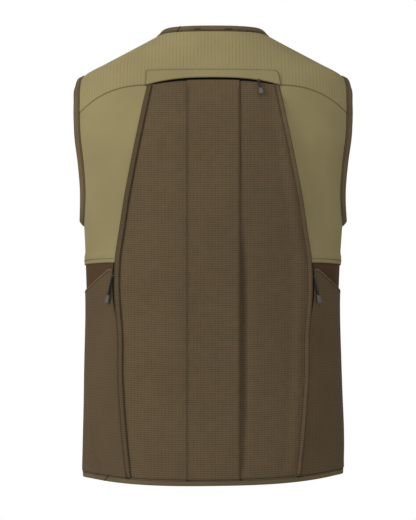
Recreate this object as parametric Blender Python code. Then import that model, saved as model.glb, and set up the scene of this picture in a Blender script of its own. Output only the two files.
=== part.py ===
"""Sleeveless hunting vest, filled out with no wearer: a hollow of cloth walls, open at the neck,
armholes and hem. +Z is up, +Y is the way the wearer faces, +X is the wearer's right. The origin is
midway between the two high points of the shoulders, where the neck binding meets the ridge.

Every piece of cloth lies on one body surface, named by two numbers: the angle round the trunk (0 at
the middle of the back, 90 degrees at the side, 180 at the middle of the front) and the height z."""

import math

import bpy
import numpy as np

# Driving dimensions, in metres
CLOTH = 0.0014
SEAM_GAP = 0.0004
LAYER_GAP = 0.0004
NECK_HALF = 0.088
NECK_FRONT_DROP = 0.090
SHOULDER_TIP_Z = -0.061
UNDERARM_Z = -0.300
KHAKI_HEM_Z = -0.3590
HEM_FOLD_Z = -0.3380
HEM_LIFTED_Z = -0.3485
LOWER_TOP_Z = -0.3520
HEM_Z = -0.6820
HEM_TILT = 0.0025
HEM_RISE = 0.009
BACK_POWER = 2.4
FRONT_POWER = 2.2

# The trunk's horizontal section at each height
SECTION_NAMES = ("z", "half_width", "back_depth", "front_depth")
SECTION_ROWS = (
    (0.000, 0.0880, 0.062, 0.050),
    (-0.030, 0.1395, 0.080, 0.057),
    (-0.061, 0.1975, 0.096, 0.066),
    (-0.082, 0.2112, 0.105, 0.074),
    (-0.111, 0.2199, 0.115, 0.088),
    (-0.153, 0.2210, 0.126, 0.104),
    (-0.206, 0.2131, 0.133, 0.113),
    (-0.245, 0.2070, 0.135, 0.118),
    (-0.300, 0.2020, 0.135, 0.120),
    (-0.360, 0.1988, 0.131, 0.118),
    (-0.420, 0.1970, 0.128, 0.116),
    (-0.550, 0.2000, 0.130, 0.117),
    (-0.620, 0.2022, 0.134, 0.119),
    (-0.695, 0.2030, 0.138, 0.120),
)

# Armhole, as a full oval in side view
ARMHOLE_BACK = 0.062
ARMHOLE_FRONT = 0.072
ARMHOLE_FULLNESS = 0.7
YOKE_CORNER_TURN = math.radians(62)
FRONT_SEAM_TURN = math.radians(-38)

# Yoke, flap and game bag
BAG_CORNER_X = 0.0995
YOKE_SEAM_Z = -0.0878
YOKE_SEAM_POWER = 2.5
YOKE_SLOT_Z = -0.0725
FRONT_SEAM_AT_NECK = 0.15
YOKE_ROWS = 7
BOW_FADE = 3
FLAP_HALF = 0.1018
FLAP_TOP_Z = -0.0636
FLAP_MIDDLE_Z = -0.0763
FLAP_CORNER_Z = -0.0880
FLAP_LIFT = CLOTH + LAYER_GAP + 0.0001
FLAP_THICK = 0.0016
BAG_TOP_Z = -0.0828
ARCH_POWER = 2.6
PLEAT_X = 0.0400
PLEAT_OVERLAP = 0.003
PLACKET_WIDTH = 0.0078
PLACKET_INSET = 0.0003
PLACKET_THICK = 0.0011
BAG_EDGE_NAMES = ("z", "x")
BAG_EDGE_ROWS = (
    (-0.0878, 0.0995),
    (-0.130, 0.1076),
    (-0.210, 0.1235),
    (-0.255, 0.1320),
    (-0.303, 0.1394),
    (-0.353, 0.1467),
    (-0.390, 0.1480),
    (-0.470, 0.1435),
    (-0.530, 0.1430),
    (-0.590, 0.1390),
    (-0.635, 0.1350),
    (-0.690, 0.1290),
)
FOLD_X = 0.0465
FOLD_HALF_WIDTH = 0.0050
FOLD_DEPTH = 0.0036
FOLD_TOP_Z = -0.330

# Side pockets and the slit beside the bag
POCKET_TOP_Z = -0.3670
POCKET_CORNER_X = 0.158
POCKET_SLOPE = 0.88
POCKET_LOW_Z = -0.4050
FRONT_PANEL_ANGLE = math.radians(125)
SLIT_WIDTH = 0.0032
SLIT_END_Z = -0.4500
SLIT_TAPER = 0.040

# Bindings: height outside and inside the cloth, where their outline turns as shares of the width, widths,
# and how far they lean off the cloth
BINDING_OUT = 0.0021
BINDING_IN = 0.0005
BINDING_NEAR = 0.3
BINDING_FAR = 0.9
NECK_WIDTH = 0.0090
ARM_WIDTH = 0.0125
HEM_WIDTH = 0.0090
ARM_FLARE = 0.75
NECK_FLARE = 3.0
NECK_FLARE_ANGLE = math.radians(42)
NECK_FLARE_FADE = math.radians(45)

# Zips: where they run, and the half width of the tape, that of the chain and the chain's height
FRONT_GAP_HALF = 0.0045
TAPE_TOP = -0.0009
TAPE_THICK = 0.0012
CHAIN_ROUNDING = 0.8
FRONT_ZIP_Z = (-0.0825, -0.6890)
FRONT_ZIP_SIZES = (0.0125, 0.0029, 0.0006)
TOP_ZIP_HALF = 0.092
TOP_ZIP_Z = -0.0800
TOP_ZIP_DROP = 0.0045
TOP_ZIP_SIZES = (0.0085, 0.0016, -0.0002)
SIDE_ZIP_Z = (-0.364, -0.432)
SIDE_ZIP_SIZES = (0.0050, 0.0011, -0.0003)

# Sliders and their pulls
SLIDER_HALF = 0.0020
BAIL_HOLE_HALF = 0.0014
BAIL_FLOOR_HALF = 0.0005
PLATE_SIDE = 0.0006
PLATE_UNDERSIDE = 0.0010
BAIL_FOOT = 0.0002
CORD_TO_GRIP = 0.0003
CORD_RADIUS = 0.0006
BAR_HALF = 0.0004
BAR_ABOVE_PLATE = 0.0022
LOOP_RADIUS = 0.00148
GRIP_THICK = 0.0046

# The grip's sections: place as a share of its length, half width, and thickness as a share of the whole
GRIP_SECTIONS = (
    (0.0, 0.0024, 0.9),
    (0.15, 0.0030, 1.0),
    (0.75, 0.0034, 1.0),
    (0.93, 0.0031, 0.95),
    (1.0, 0.0022, 0.7),
)
GRIP_CORNERS = ((1, 0.6), (0.75, 1), (-0.75, 1), (-1, 0.6), (-1, -0.6), (-0.75, -1), (0.75, -1), (1, -0.6))

KHAKI_RIPSTOP = ("khaki_ripstop", (0.246, 0.216, 0.112), 0.85, 0.0)
KHAKI_STRETCH = ("khaki_stretch", (0.262, 0.226, 0.110), 0.85, 0.0)
BROWN_RIPSTOP = ("brown_ripstop", (0.090, 0.066, 0.042), 0.85, 0.0)
BROWN_SMOOTH = ("brown_smooth", (0.075, 0.048, 0.028), 0.80, 0.0)
BINDING = ("binding", (0.075, 0.056, 0.040), 0.85, 0.0)
ZIP_TAPE = ("zip_tape", (0.020, 0.018, 0.015), 0.80, 0.0)
SLIDER_METAL = ("slider_metal", (0.060, 0.058, 0.055), 0.40, 0.9)
PULL_CORD = ("pull_cord", (0.110, 0.100, 0.085), 0.80, 0.0)
GRIP_PLASTIC = ("grip_plastic", (0.120, 0.120, 0.118), 0.50, 0.0)


def table(names, rows):
    """The rows as one array for each named column, sorted from low to high."""
    data = np.array(sorted(rows))
    return dict(zip(names, data.T))


SECTIONS = table(SECTION_NAMES, SECTION_ROWS)
BAG_EDGE = table(BAG_EDGE_NAMES, BAG_EDGE_ROWS)


def smooth(at, known, values):
    """A cubic curve through the table's values, with the slopes of its neighbours."""
    slopes = np.gradient(values, known)
    low = np.clip(np.searchsorted(known, at) - 1, 0, len(known) - 2)
    span = known[low + 1] - known[low]
    t = (at - known[low]) / span
    start = (1 + 2 * t) * (1 - t) ** 2 * values[low] + t * (1 - t) ** 2 * span * slopes[low]
    end = t * t * (3 - 2 * t) * values[low + 1] + t * t * (t - 1) * span * slopes[low + 1]
    return start + end


def section(z, name):
    return smooth(z, SECTIONS["z"], SECTIONS[name])


def step(value):
    """0 below 0, 1 above 1, and an even curve between."""
    t = np.clip(value, 0, 1)
    return t * t * (3 - 2 * t)


def body(angle, z):
    """Points on the body surface: at each height a superellipse, reached along the direction of the angle.
    Towards the hem the wearer's right side hangs a little higher than the left, and both corners rise."""
    angle, z = np.broadcast_arrays(angle, z)
    sine, cosine = np.sin(angle), np.cos(angle)
    behind = cosine > 0
    power = np.where(behind, BACK_POWER, FRONT_POWER)
    reach = (np.abs(sine) ** power + np.abs(cosine) ** power) ** (-1 / power)
    depth = np.where(behind, section(z, "back_depth"), section(z, "front_depth"))
    rise = HEM_TILT * sine + HEM_RISE * (np.abs(sine) ** 3 - np.abs(sine) ** 12)
    height = z + rise * step((KHAKI_HEM_Z - z) / (KHAKI_HEM_Z - HEM_Z))
    return np.stack([section(z, "half_width") * sine * reach, -depth * cosine * reach, height], axis=-1)


def unit(vectors):
    return vectors / np.linalg.norm(vectors, axis=-1, keepdims=True)


def normals(angle, z):
    """Outward directions of the body surface."""
    nudge = 1e-3
    around = body(angle + nudge, z) - body(angle - nudge, z)
    upward = body(angle, z + nudge) - body(angle, z - nudge)
    return unit(np.cross(around, upward))


def back_angle(x, z):
    ratio = np.clip(x / section(z, "half_width"), 0, 1)
    return np.arctan2(ratio, (1 - ratio**BACK_POWER) ** (1 / BACK_POWER))


def front_angle(x, z):
    ratio = np.clip(x / section(z, "half_width"), 0, 1)
    return math.pi - np.arctan2(ratio, (1 - ratio**FRONT_POWER) ** (1 / FRONT_POWER))


def line(angle, z):
    """A line on the body surface: one row of angle and height for each point."""
    return np.stack(np.broadcast_arrays(angle, z), axis=-1).astype(float)


def armhole(turn):
    """The armhole's edge. The turn is 0 at the shoulder tip and 180 degrees at the underarm, and less than
    0 in front."""
    turn = np.asarray(turn, float)
    middle, half = (SHOULDER_TIP_Z + UNDERARM_Z) / 2, (SHOULDER_TIP_Z - UNDERARM_Z) / 2
    z = middle + half * np.cos(turn)
    behind = turn >= 0
    reach = np.where(behind, ARMHOLE_BACK, ARMHOLE_FRONT) * np.abs(np.sin(turn)) ** ARMHOLE_FULLNESS
    depth = np.where(behind, section(z, "back_depth"), section(z, "front_depth"))
    power = np.where(behind, BACK_POWER, FRONT_POWER)
    ratio = reach / depth
    angle = np.arctan2((1 - ratio**power) ** (1 / power), ratio)
    return line(np.where(behind, angle, math.pi - angle), z)


def front_neckline(part):
    """The neckline from the high point of the shoulder, part 0, to the middle of the front, part 1."""
    quarter = np.asarray(part, float) * math.pi / 2
    z = -NECK_FRONT_DROP * np.sin(quarter)
    return line(front_angle(NECK_HALF * np.cos(quarter), z), z)


def bag_edge_x(z):
    return smooth(z, BAG_EDGE["z"], BAG_EDGE["x"])


def bag_edge_angle(z):
    return back_angle(bag_edge_x(z), z)


def arch(x):
    """0 at the middle of the flap's lower edge and 1 at its corners."""
    return (np.abs(x) / BAG_CORNER_X) ** ARCH_POWER


def yoke_seam(count):
    """The seam from the flap's corner to the armhole, falling ever more steeply."""
    corner = armhole(YOKE_CORNER_TURN)
    corner_x = body(corner[0], corner[1])[0]
    part = np.linspace(0, 1, count)
    x = BAG_CORNER_X + (corner_x - BAG_CORNER_X) * part
    z = YOKE_SEAM_Z + (corner[1] - YOKE_SEAM_Z) * part**YOKE_SEAM_POWER
    return line(back_angle(x, z), z)


def patch(top, bottom, left, right):
    """Fills four lines that meet at their ends with a grid, each row running from left to right.
    The bow of the top and bottom lines fades quickly, so that it never reaches past a curved side."""
    s = np.linspace(0, 1, len(top))[None, :, None]
    t = np.linspace(0, 1, len(left))[:, None, None]
    across = (1 - s) * left[:, None] + s * right[:, None]
    top_bow = top[None] - (1 - s) * top[0] - s * top[-1]
    bottom_bow = bottom[None] - (1 - s) * bottom[0] - s * bottom[-1]
    return across + (1 - t) ** BOW_FADE * top_bow + t**BOW_FADE * bottom_bow


def mirrored(lines):
    """The same lines on the wearer's left."""
    return lines * np.array([-1.0, 1.0])


def draw_in(points, distance):
    """Moves the grid's four edges inwards, which leaves the gap of a seam."""
    points = points.copy()
    sides = [(np.s_[:, 0], np.s_[:, 1]), (np.s_[:, -1], np.s_[:, -2])]
    edges = sides + [(np.s_[0], np.s_[1]), (np.s_[-1], np.s_[-2])]
    moves = [unit(points[inside] - points[edge]) * distance for edge, inside in edges]
    for (edge, _), move in zip(edges, moves):
        points[edge] += move
    return points


def material(look):
    name, colour, roughness, metallic = look
    found = bpy.data.materials.get(name)
    if found:
        return found
    made = bpy.data.materials.new(name)
    made.use_nodes = True
    shader = made.node_tree.nodes["Principled BSDF"]
    shader.inputs["Base Color"].default_value = (*colour, 1.0)
    shader.inputs["Roughness"].default_value = roughness
    shader.inputs["Metallic"].default_value = metallic
    made.diffuse_color = (*colour, 1.0)
    return made


def add_object(name, points, faces, look, place=(0.0, 0.0, 0.0)):
    """One closed mesh with its faces outwards, stored about its place."""
    points = np.asarray(points) - np.asarray(place)
    volume = 0.0
    for face in faces:
        for k in range(1, len(face) - 1):
            volume += np.linalg.det(points[[face[0], face[k], face[k + 1]]])
    if volume < 0:
        faces = [face[::-1] for face in faces]
    mesh = bpy.data.meshes.new(name)
    mesh.from_pydata(points.tolist(), [], [list(map(int, face)) for face in faces])
    mesh.shade_smooth()
    mesh.set_sharp_from_angle(angle=math.radians(40))
    mesh.materials.append(material(look))
    made = bpy.data.objects.new(name, mesh)
    made.location = place
    bpy.context.scene.collection.objects.link(made)
    return made


def wall(name, outer, inner, look):
    """A closed wall between two grids of points."""
    rows, columns = outer.shape[:2]
    index = np.arange(rows * columns).reshape(rows, columns)
    under = index + rows * columns
    quads = np.stack([index[:-1, :-1], index[:-1, 1:], index[1:, 1:], index[1:, :-1]], axis=-1)
    quads = quads.reshape(-1, 4)
    faces = quads.tolist() + (quads[:, ::-1] + rows * columns).tolist()
    rim = np.concatenate([index[0, :-1], index[:-1, -1], index[-1, :0:-1], index[:0:-1, 0]])
    low = np.concatenate([under[0, :-1], under[:-1, -1], under[-1, :0:-1], under[:0:-1, 0]])
    following, low_following = np.roll(rim, -1), np.roll(low, -1)
    faces += np.stack([following, rim, low, low_following], axis=-1).tolist()
    points = np.concatenate([outer.reshape(-1, 3), inner.reshape(-1, 3)])
    return add_object(name, points, faces, look)


def cloth(name, grid, look, lift=0.0, thick=CLOTH):
    """A wall of cloth over a grid of angles and heights. The lift is its inner face's height off the body."""
    angle, z = grid[..., 0], grid[..., 1]
    away = normals(angle, z)
    points = draw_in(body(angle, z), SEAM_GAP / 2)
    lift = np.broadcast_to(lift, angle.shape)[..., None]
    return wall(name, points + away * (lift + thick), points + away * lift, look)


def sweep(name, rings, look, closed=False, place=(0.0, 0.0, 0.0)):
    """A solid through a row of outlines, each a ring of points."""
    count, corners = rings.shape[:2]
    index = np.arange(count * corners).reshape(count, corners)
    faces = []
    for k in range(count if closed else count - 1):
        here, there = index[k], index[(k + 1) % count]
        for c in range(corners):
            following = (c + 1) % corners
            faces.append([here[c], here[following], there[following], there[c]])
    if not closed:
        faces += [index[0, ::-1].tolist(), index[-1].tolist()]
    return add_object(name, rings.reshape(-1, 3), faces, look, place)


def binding(name, edge, look, width, towards, lean, closed=False):
    """A folded strip along an edge. It leaves the cloth across the edge and leans as much as lean adds."""
    points, away = body(edge[:, 0], edge[:, 1]), normals(edge[:, 0], edge[:, 1])
    if closed:
        along = unit(np.roll(points, -1, axis=0) - np.roll(points, 1, axis=0))
    else:
        along = unit(np.gradient(points, axis=0))
    across = unit(np.cross(away, along))
    across *= np.sign(np.sum(across * (towards - points), axis=-1, keepdims=True))
    leaving = unit(across + lean)
    outward = unit(away - leaving * np.sum(away * leaving, axis=-1, keepdims=True))
    root = points + across * SEAM_GAP
    near, far = leaving * width * BINDING_NEAR, leaving * width * BINDING_FAR
    rings = [
        root + away * -BINDING_IN,
        root + far - outward * BINDING_IN,
        root + leaving * width + outward * (BINDING_OUT - BINDING_IN) / 2,
        root + far + outward * BINDING_OUT,
        root + near + outward * BINDING_OUT,
        root + away * BINDING_OUT,
    ]
    return sweep(name, np.stack(rings, axis=1), look, closed)


def yoke_edges():
    """The yoke's inner and outer lines on one side, from the middle of the back to the front seam."""
    slot_x = np.linspace(0, BAG_CORNER_X, 7)
    slot_z = np.full(7, YOKE_SLOT_Z)
    slot_z[-1] = YOKE_SEAM_Z
    outer = [line(back_angle(slot_x, slot_z), slot_z)[:-1], yoke_seam(9)[:-1]]
    outer += [armhole(np.linspace(YOKE_CORNER_TURN, 0, 7))[:-1], armhole(np.linspace(0, FRONT_SEAM_TURN, 5))]
    outer = np.concatenate(outer)
    ridge = len(outer) - 5
    inner = [line(np.linspace(0, math.pi / 2, ridge + 1), 0.0)[:-1]]
    inner += [front_neckline(FRONT_SEAM_AT_NECK * np.linspace(0, 1, 5) ** 2)]
    return np.concatenate(inner), outer


def both_sides(half):
    """A line from the middle of the back, carried on over both sides from left to right."""
    return np.concatenate([mirrored(half[:0:-1]), half])


def make_yoke():
    inner, outer = yoke_edges()
    inner, outer = both_sides(inner), both_sides(outer)
    part = np.linspace(0, 1, YOKE_ROWS)[:, None, None]
    cloth("yoke", inner[None] * (1 - part) + outer[None] * part, KHAKI_RIPSTOP)


def make_flap():
    x = np.linspace(-1, 1, 15) * FLAP_HALF
    low = FLAP_MIDDLE_Z + (FLAP_CORNER_Z - FLAP_MIDDLE_Z) * arch(x)
    z = FLAP_TOP_Z + (low - FLAP_TOP_Z) * np.linspace(0, 1, 4)[:, None]
    angle = np.sign(x) * back_angle(np.abs(x), z)
    cloth("yoke_flap", line(angle, z), KHAKI_STRETCH, FLAP_LIFT, FLAP_THICK)


def side_levels():
    """Heights of the rows down the bag's edge: beside the khaki panel, then beside the pocket."""
    upper = np.concatenate([np.linspace(YOKE_SEAM_Z, HEM_FOLD_Z, 13), [HEM_LIFTED_Z, KHAKI_HEM_Z]])
    return upper, np.linspace(LOWER_TOP_Z, HEM_Z, 12)


def bag_levels():
    upper, lower = side_levels()
    return np.concatenate([upper, lower[1:]])


def bag_grid(columns, left_x, right_x):
    """Rows and columns between two upright lines, each an x or, where None, the bag's edge."""
    levels = bag_levels()
    fraction = (levels - levels[0]) / (levels[-1] - levels[0])

    def across(x, z):
        return bag_edge_angle(z) if x is None else np.sign(x) * back_angle(abs(x), z)

    def top(x):
        return BAG_TOP_Z + (YOKE_SEAM_Z - BAG_TOP_Z) * (1.0 if x is None else float(arch(x)))

    left_z, right_z = (top(x) + (HEM_Z - top(x)) * fraction for x in (left_x, right_x))
    ends = [line(across(left_x, left_z), left_z), line(across(right_x, right_z), right_z)]
    columns = np.asarray(columns)[None, :, None]
    grid = ends[0][:, None] * (1 - columns) + ends[1][:, None] * columns
    x = np.abs(body(grid[0, :, 0], grid[0, :, 1])[:, 0])
    grid[0, :, 1] = BAG_TOP_Z + (YOKE_SEAM_Z - BAG_TOP_Z) * arch(np.minimum(x, BAG_CORNER_X))
    return grid


def make_bag():
    columns = (0, 0.05, 0.10, 0.15, 0.22, 0.35, 0.55, 0.78, 1)
    grid = bag_grid(columns, PLEAT_X - PLEAT_OVERLAP, None)
    x = body(grid[..., 0], grid[..., 1])[..., 0]
    z = grid[..., 1]
    fold = np.exp(-(((x - FOLD_X) / FOLD_HALF_WIDTH) ** 2)) * step((FOLD_TOP_Z - z) / 0.10)
    cloth("bag_right", grid, BROWN_RIPSTOP, -FOLD_DEPTH * fold)
    cloth("bag_left", mirrored(grid), BROWN_RIPSTOP)
    middle = bag_grid(np.linspace(0, 1, 7), -PLEAT_X, PLEAT_X)
    cloth("bag_centre", middle, BROWN_RIPSTOP, CLOTH + LAYER_GAP)


def make_plackets():
    """The bag's stitched-down folded edges."""
    levels = bag_levels()
    x = bag_edge_x(levels)[:, None] - np.array([PLACKET_WIDTH, PLACKET_WIDTH / 2, PLACKET_INSET])
    grid = line(back_angle(x, levels[:, None]), levels[:, None])
    cloth("bag_placket_right", grid, BROWN_RIPSTOP, CLOTH + LAYER_GAP, PLACKET_THICK)
    cloth("bag_placket_left", mirrored(grid), BROWN_RIPSTOP, CLOTH + LAYER_GAP, PLACKET_THICK)


def hem_lift(grid):
    """The khaki hem rises over the brown cloth's edge."""
    return (CLOTH + LAYER_GAP) * step((HEM_FOLD_Z - grid[..., 1]) / (HEM_FOLD_Z - HEM_LIFTED_Z))


def side_seam():
    """The side seam below the underarm, down to the khaki hem."""
    z = np.array([(UNDERARM_Z + HEM_FOLD_Z) / 2, HEM_FOLD_Z, HEM_LIFTED_Z, KHAKI_HEM_Z])
    return line(math.pi / 2, z)


def make_upper_sides():
    top = yoke_seam(9)
    right = np.concatenate([armhole(np.linspace(YOKE_CORNER_TURN, math.pi, 11)), side_seam()])
    upper, _ = side_levels()
    left = line(bag_edge_angle(upper), upper)
    bottom = line(np.linspace(left[-1, 0], math.pi / 2, len(top)), KHAKI_HEM_Z)
    grid = patch(top, bottom, left, right)
    cloth("upper_side_right", grid, KHAKI_STRETCH, hem_lift(grid))
    cloth("upper_side_left", mirrored(grid), KHAKI_STRETCH, hem_lift(grid))


def front_edge(z):
    return front_angle(FRONT_GAP_HALF, z)


def make_front_uppers():
    inner, outer = yoke_edges()
    seam = np.linspace(0, 1, YOKE_ROWS)[:, None]
    seam = outer[-1] * (1 - seam) + inner[-1] * seam
    end = math.acos(FRONT_GAP_HALF / NECK_HALF) / (math.pi / 2)
    neck = front_neckline(np.linspace(FRONT_SEAM_AT_NECK, end, 9))
    top = np.concatenate([seam, neck[1:]])
    left = np.concatenate([armhole(np.linspace(FRONT_SEAM_TURN, -math.pi, 12)), side_seam()])
    z = np.concatenate([np.linspace(neck[-1, 1], HEM_FOLD_Z, len(left) - 2), [HEM_LIFTED_Z, KHAKI_HEM_Z]])
    right = line(front_edge(z), z)
    bottom = line(np.linspace(math.pi / 2, right[-1, 0], len(top)), KHAKI_HEM_Z)
    grid = patch(top, bottom, left, right)
    cloth("front_upper_right", grid, KHAKI_STRETCH, hem_lift(grid))
    cloth("front_upper_left", mirrored(grid), KHAKI_STRETCH, hem_lift(grid))


def side_columns():
    """Places of the lower side's columns. The second one meets the pocket's corner."""
    z = np.array(POCKET_TOP_Z)
    start, corner = slit_angle(z), back_angle(POCKET_CORNER_X, z)
    part = (corner - start) / (FRONT_PANEL_ANGLE - start)
    return np.concatenate([[0.0], np.linspace(part, 1, 12)])


def slit_angle(z):
    """Where the lower side starts, beside the bag's edge or beyond the zip's slit."""
    return back_angle(bag_edge_x(z) + SLIT_WIDTH * step((z - SLIT_END_Z) / SLIT_TAPER), z)


def side_grid(top, rows):
    """The lower side's columns from the height top(angle) down to the hem, in shares of the height."""
    columns = side_columns()
    start = np.full(len(columns), LOWER_TOP_Z)
    for _ in range(8):
        angle = slit_angle(start) * (1 - columns) + FRONT_PANEL_ANGLE * columns
        start = top(angle, start)
    z = start + (HEM_Z - start) * rows[:, None]
    return line(slit_angle(z) * (1 - columns) + FRONT_PANEL_ANGLE * columns, z)


def pocket_mouth(angle, z):
    """The pocket's top: level at the bag, then falling to the side seam, then level round to the front."""
    x = np.where(angle < math.pi / 2, body(angle, z)[..., 0], 1.0)
    return np.maximum(POCKET_TOP_Z - POCKET_SLOPE * np.maximum(x - POCKET_CORNER_X, 0), POCKET_LOW_Z)


def make_lower_sides():
    _, lower = side_levels()
    shares = (lower - lower[0]) / (lower[-1] - lower[0])
    grid = side_grid(lambda angle, z: np.full_like(z, LOWER_TOP_Z), shares)
    cloth("lower_side_right", grid, BROWN_SMOOTH)
    cloth("lower_side_left", mirrored(grid), BROWN_SMOOTH)
    grid = side_grid(pocket_mouth, np.concatenate([[0.0], np.linspace(0.04, 1, 10)]))
    cloth("pocket_right", grid, BROWN_RIPSTOP, CLOTH + 1.5 * LAYER_GAP)
    cloth("pocket_left", mirrored(grid), BROWN_RIPSTOP, CLOTH + 1.5 * LAYER_GAP)


def make_front_lowers():
    z = np.linspace(LOWER_TOP_Z, HEM_Z, 12)[:, None]
    angle = FRONT_PANEL_ANGLE + (front_edge(z) - FRONT_PANEL_ANGLE) * np.linspace(0, 1, 7)
    grid = line(angle, z)
    cloth("front_lower_right", grid, BROWN_RIPSTOP)
    cloth("front_lower_left", mirrored(grid), BROWN_RIPSTOP)


def make_armhole_bindings():
    turns = [np.linspace(0, YOKE_CORNER_TURN, 7)[:-1], np.linspace(YOKE_CORNER_TURN, math.pi, 11)[:-1]]
    turns += [np.linspace(-math.pi, FRONT_SEAM_TURN, 12)[:-1], np.linspace(FRONT_SEAM_TURN, 0, 5)[:-1]]
    edge = armhole(np.concatenate(turns))
    middle = np.array([section(np.array(-0.18), "half_width"), 0.0, -0.18])
    for name, side in (("right", 1), ("left", -1)):
        flip = np.array([side, 1, 1])
        half = edge if side > 0 else mirrored(edge)
        lean = np.array([side * ARM_FLARE, 0.0, 0.0])
        binding(f"armhole_binding_{name}", half, BINDING, ARM_WIDTH, middle * flip, lean, closed=True)


def neck_edge():
    """The neckline on one side, with the points that the yoke and the front have on it."""
    inner, _ = yoke_edges()
    end = math.acos(FRONT_GAP_HALF / NECK_HALF) / (math.pi / 2)
    return np.concatenate([inner, front_neckline(np.linspace(FRONT_SEAM_AT_NECK, end, 9))[1:]])


def make_neck_binding():
    edge = both_sides(neck_edge())
    points = body(edge[:, 0], edge[:, 1])
    upright = NECK_FLARE * (1 - step((np.abs(edge[:, 0]) - NECK_FLARE_ANGLE) / NECK_FLARE_FADE))
    lean = upright[:, None] * np.array([0.0, 0.0, 1.0])
    binding("neck_binding", edge, BINDING, NECK_WIDTH, points + (0, 0, 1), lean)


def make_hem_binding():
    half = np.concatenate([np.linspace(0, math.pi * 0.95, 28), [front_edge(np.array(HEM_Z))]])
    edge = both_sides(line(half, HEM_Z))
    points = body(edge[:, 0], edge[:, 1])
    binding("hem_binding", edge, BINDING, HEM_WIDTH, points - (0, 0, 1), np.zeros(3))


def make_zip(name, route, half_width, chain_half, chain_top):
    """A zip behind the cloth: a tape with the closed chain as a ridge along its middle."""
    points, away = body(route[:, 0], route[:, 1]), normals(route[:, 0], route[:, 1])
    across = unit(np.cross(away, unit(np.gradient(points, axis=0))))
    outline = (
        (-half_width, TAPE_TOP),
        (-chain_half, TAPE_TOP),
        (-chain_half * CHAIN_ROUNDING, chain_top),
        (chain_half * CHAIN_ROUNDING, chain_top),
        (chain_half, TAPE_TOP),
        (half_width, TAPE_TOP),
        (half_width, TAPE_TOP - TAPE_THICK),
        (-half_width, TAPE_TOP - TAPE_THICK),
    )
    rings = np.stack([points + across * w + away * h for w, h in outline], axis=1)
    sweep(name, rings, ZIP_TAPE)


def slit_route(count):
    z = np.linspace(*SIDE_ZIP_Z, count)
    return line(back_angle(bag_edge_x(z) + SLIT_WIDTH / 2, z), z)


def make_zips():
    z = np.linspace(*FRONT_ZIP_Z, 22)
    make_zip("front_zip", line(math.pi, z), *FRONT_ZIP_SIZES)
    x = np.linspace(-1, 1, 15) * TOP_ZIP_HALF
    z = TOP_ZIP_Z - TOP_ZIP_DROP * arch(x)
    make_zip("top_zip", line(np.sign(x) * back_angle(np.abs(x), z), z), *TOP_ZIP_SIZES)
    route = slit_route(6)
    make_zip("side_zip_right", route, *SIDE_ZIP_SIZES)
    make_zip("side_zip_left", mirrored(route), *SIDE_ZIP_SIZES)


# Each zip's slider and pull: its place (the side ones follow the slit), the heights of the slider's foot and
# plate over the body, its stem's half width, its half length, the lengths of the cord and the grip, the lean
# sideways
PULL_NAMES = ("name", "x", "z", "side", "foot", "plate", "stem_half", "half_length", "cord", "grip", "lean")
PULL_ROWS = (
    ("front", 0.0, -0.1000, "front", 0.0009, 0.0034, 0.0019, 0.0019, 0.0160, 0.0125, 0.0),
    ("top", 0.0687, -0.0826, "back", 0.0002, 0.0026, 0.0019, 0.0015, 0.0125, 0.0105, 0.13),
    ("side_right", None, -0.3790, "back", 0.0000, 0.0046, 0.0010, 0.0019, 0.0275, 0.0135, 0.30),
    ("side_left", None, -0.3790, "back", 0.0000, 0.0046, 0.0010, 0.0019, 0.0275, 0.0135, -0.30),
)


def pull_frame(row):
    """The hinge of a pull: its point, the ways down along the cloth and out of it, and the bar."""
    x, z = row["x"], row["z"]
    if row["side"] == "front":
        angle = math.pi
    elif x is None:
        x = float(bag_edge_x(np.array(z))) + SLIT_WIDTH / 2
        angle = math.copysign(float(back_angle(x, np.array(z))), row["lean"])
    else:
        angle = float(back_angle(x, np.array(z)))
    point, out = body(np.array(angle), np.array(z)), normals(np.array(angle), np.array(z))
    down = unit(np.array([0.0, 0.0, -1.0]) - out * -out[2])
    bar = np.cross(down, out)
    return point, down, out, bar


def make_slider(row):
    """A slider with a bail: one closed ring whose upper side is the bar that the cord goes round."""
    point, down, out, bar = pull_frame(row)
    plate = row["plate"]
    top = plate + BAR_ABOVE_PLATE + BAR_HALF
    hole, floor, wide = BAIL_HOLE_HALF, BAIL_FLOOR_HALF, SLIDER_HALF
    stem, long = row["stem_half"], row["half_length"]
    low, side = plate - PLATE_UNDERSIDE, plate - PLATE_SIDE
    foot, cheek, roof = plate + BAIL_FOOT, plate + 3 * BAIL_FOOT, top - 2 * BAR_HALF
    outer = ((-stem, row["foot"]), (stem, row["foot"]), (stem, low), (wide, side))
    outer += ((wide, top), (-wide, top), (-wide, side), (-stem, low))
    inner = ((-floor, plate), (floor, plate), (hole, foot), (hole, cheek))
    inner += ((hole, roof), (-hole, roof), (-hole, cheek), (-hole, foot))
    lengths = (long, long, long, long, BAR_HALF, BAR_HALF, long, long)
    rings = []
    for (ow, oh), (iw, ih), half in zip(outer, inner, lengths):
        far, near = point + bar * ow + out * oh, point + bar * iw + out * ih
        rings.append([far + down * half, far - down * half, near - down * half, near + down * half])
    sweep(f"{row['name']}_slider", np.array(rings), SLIDER_METAL, closed=True)


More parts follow.
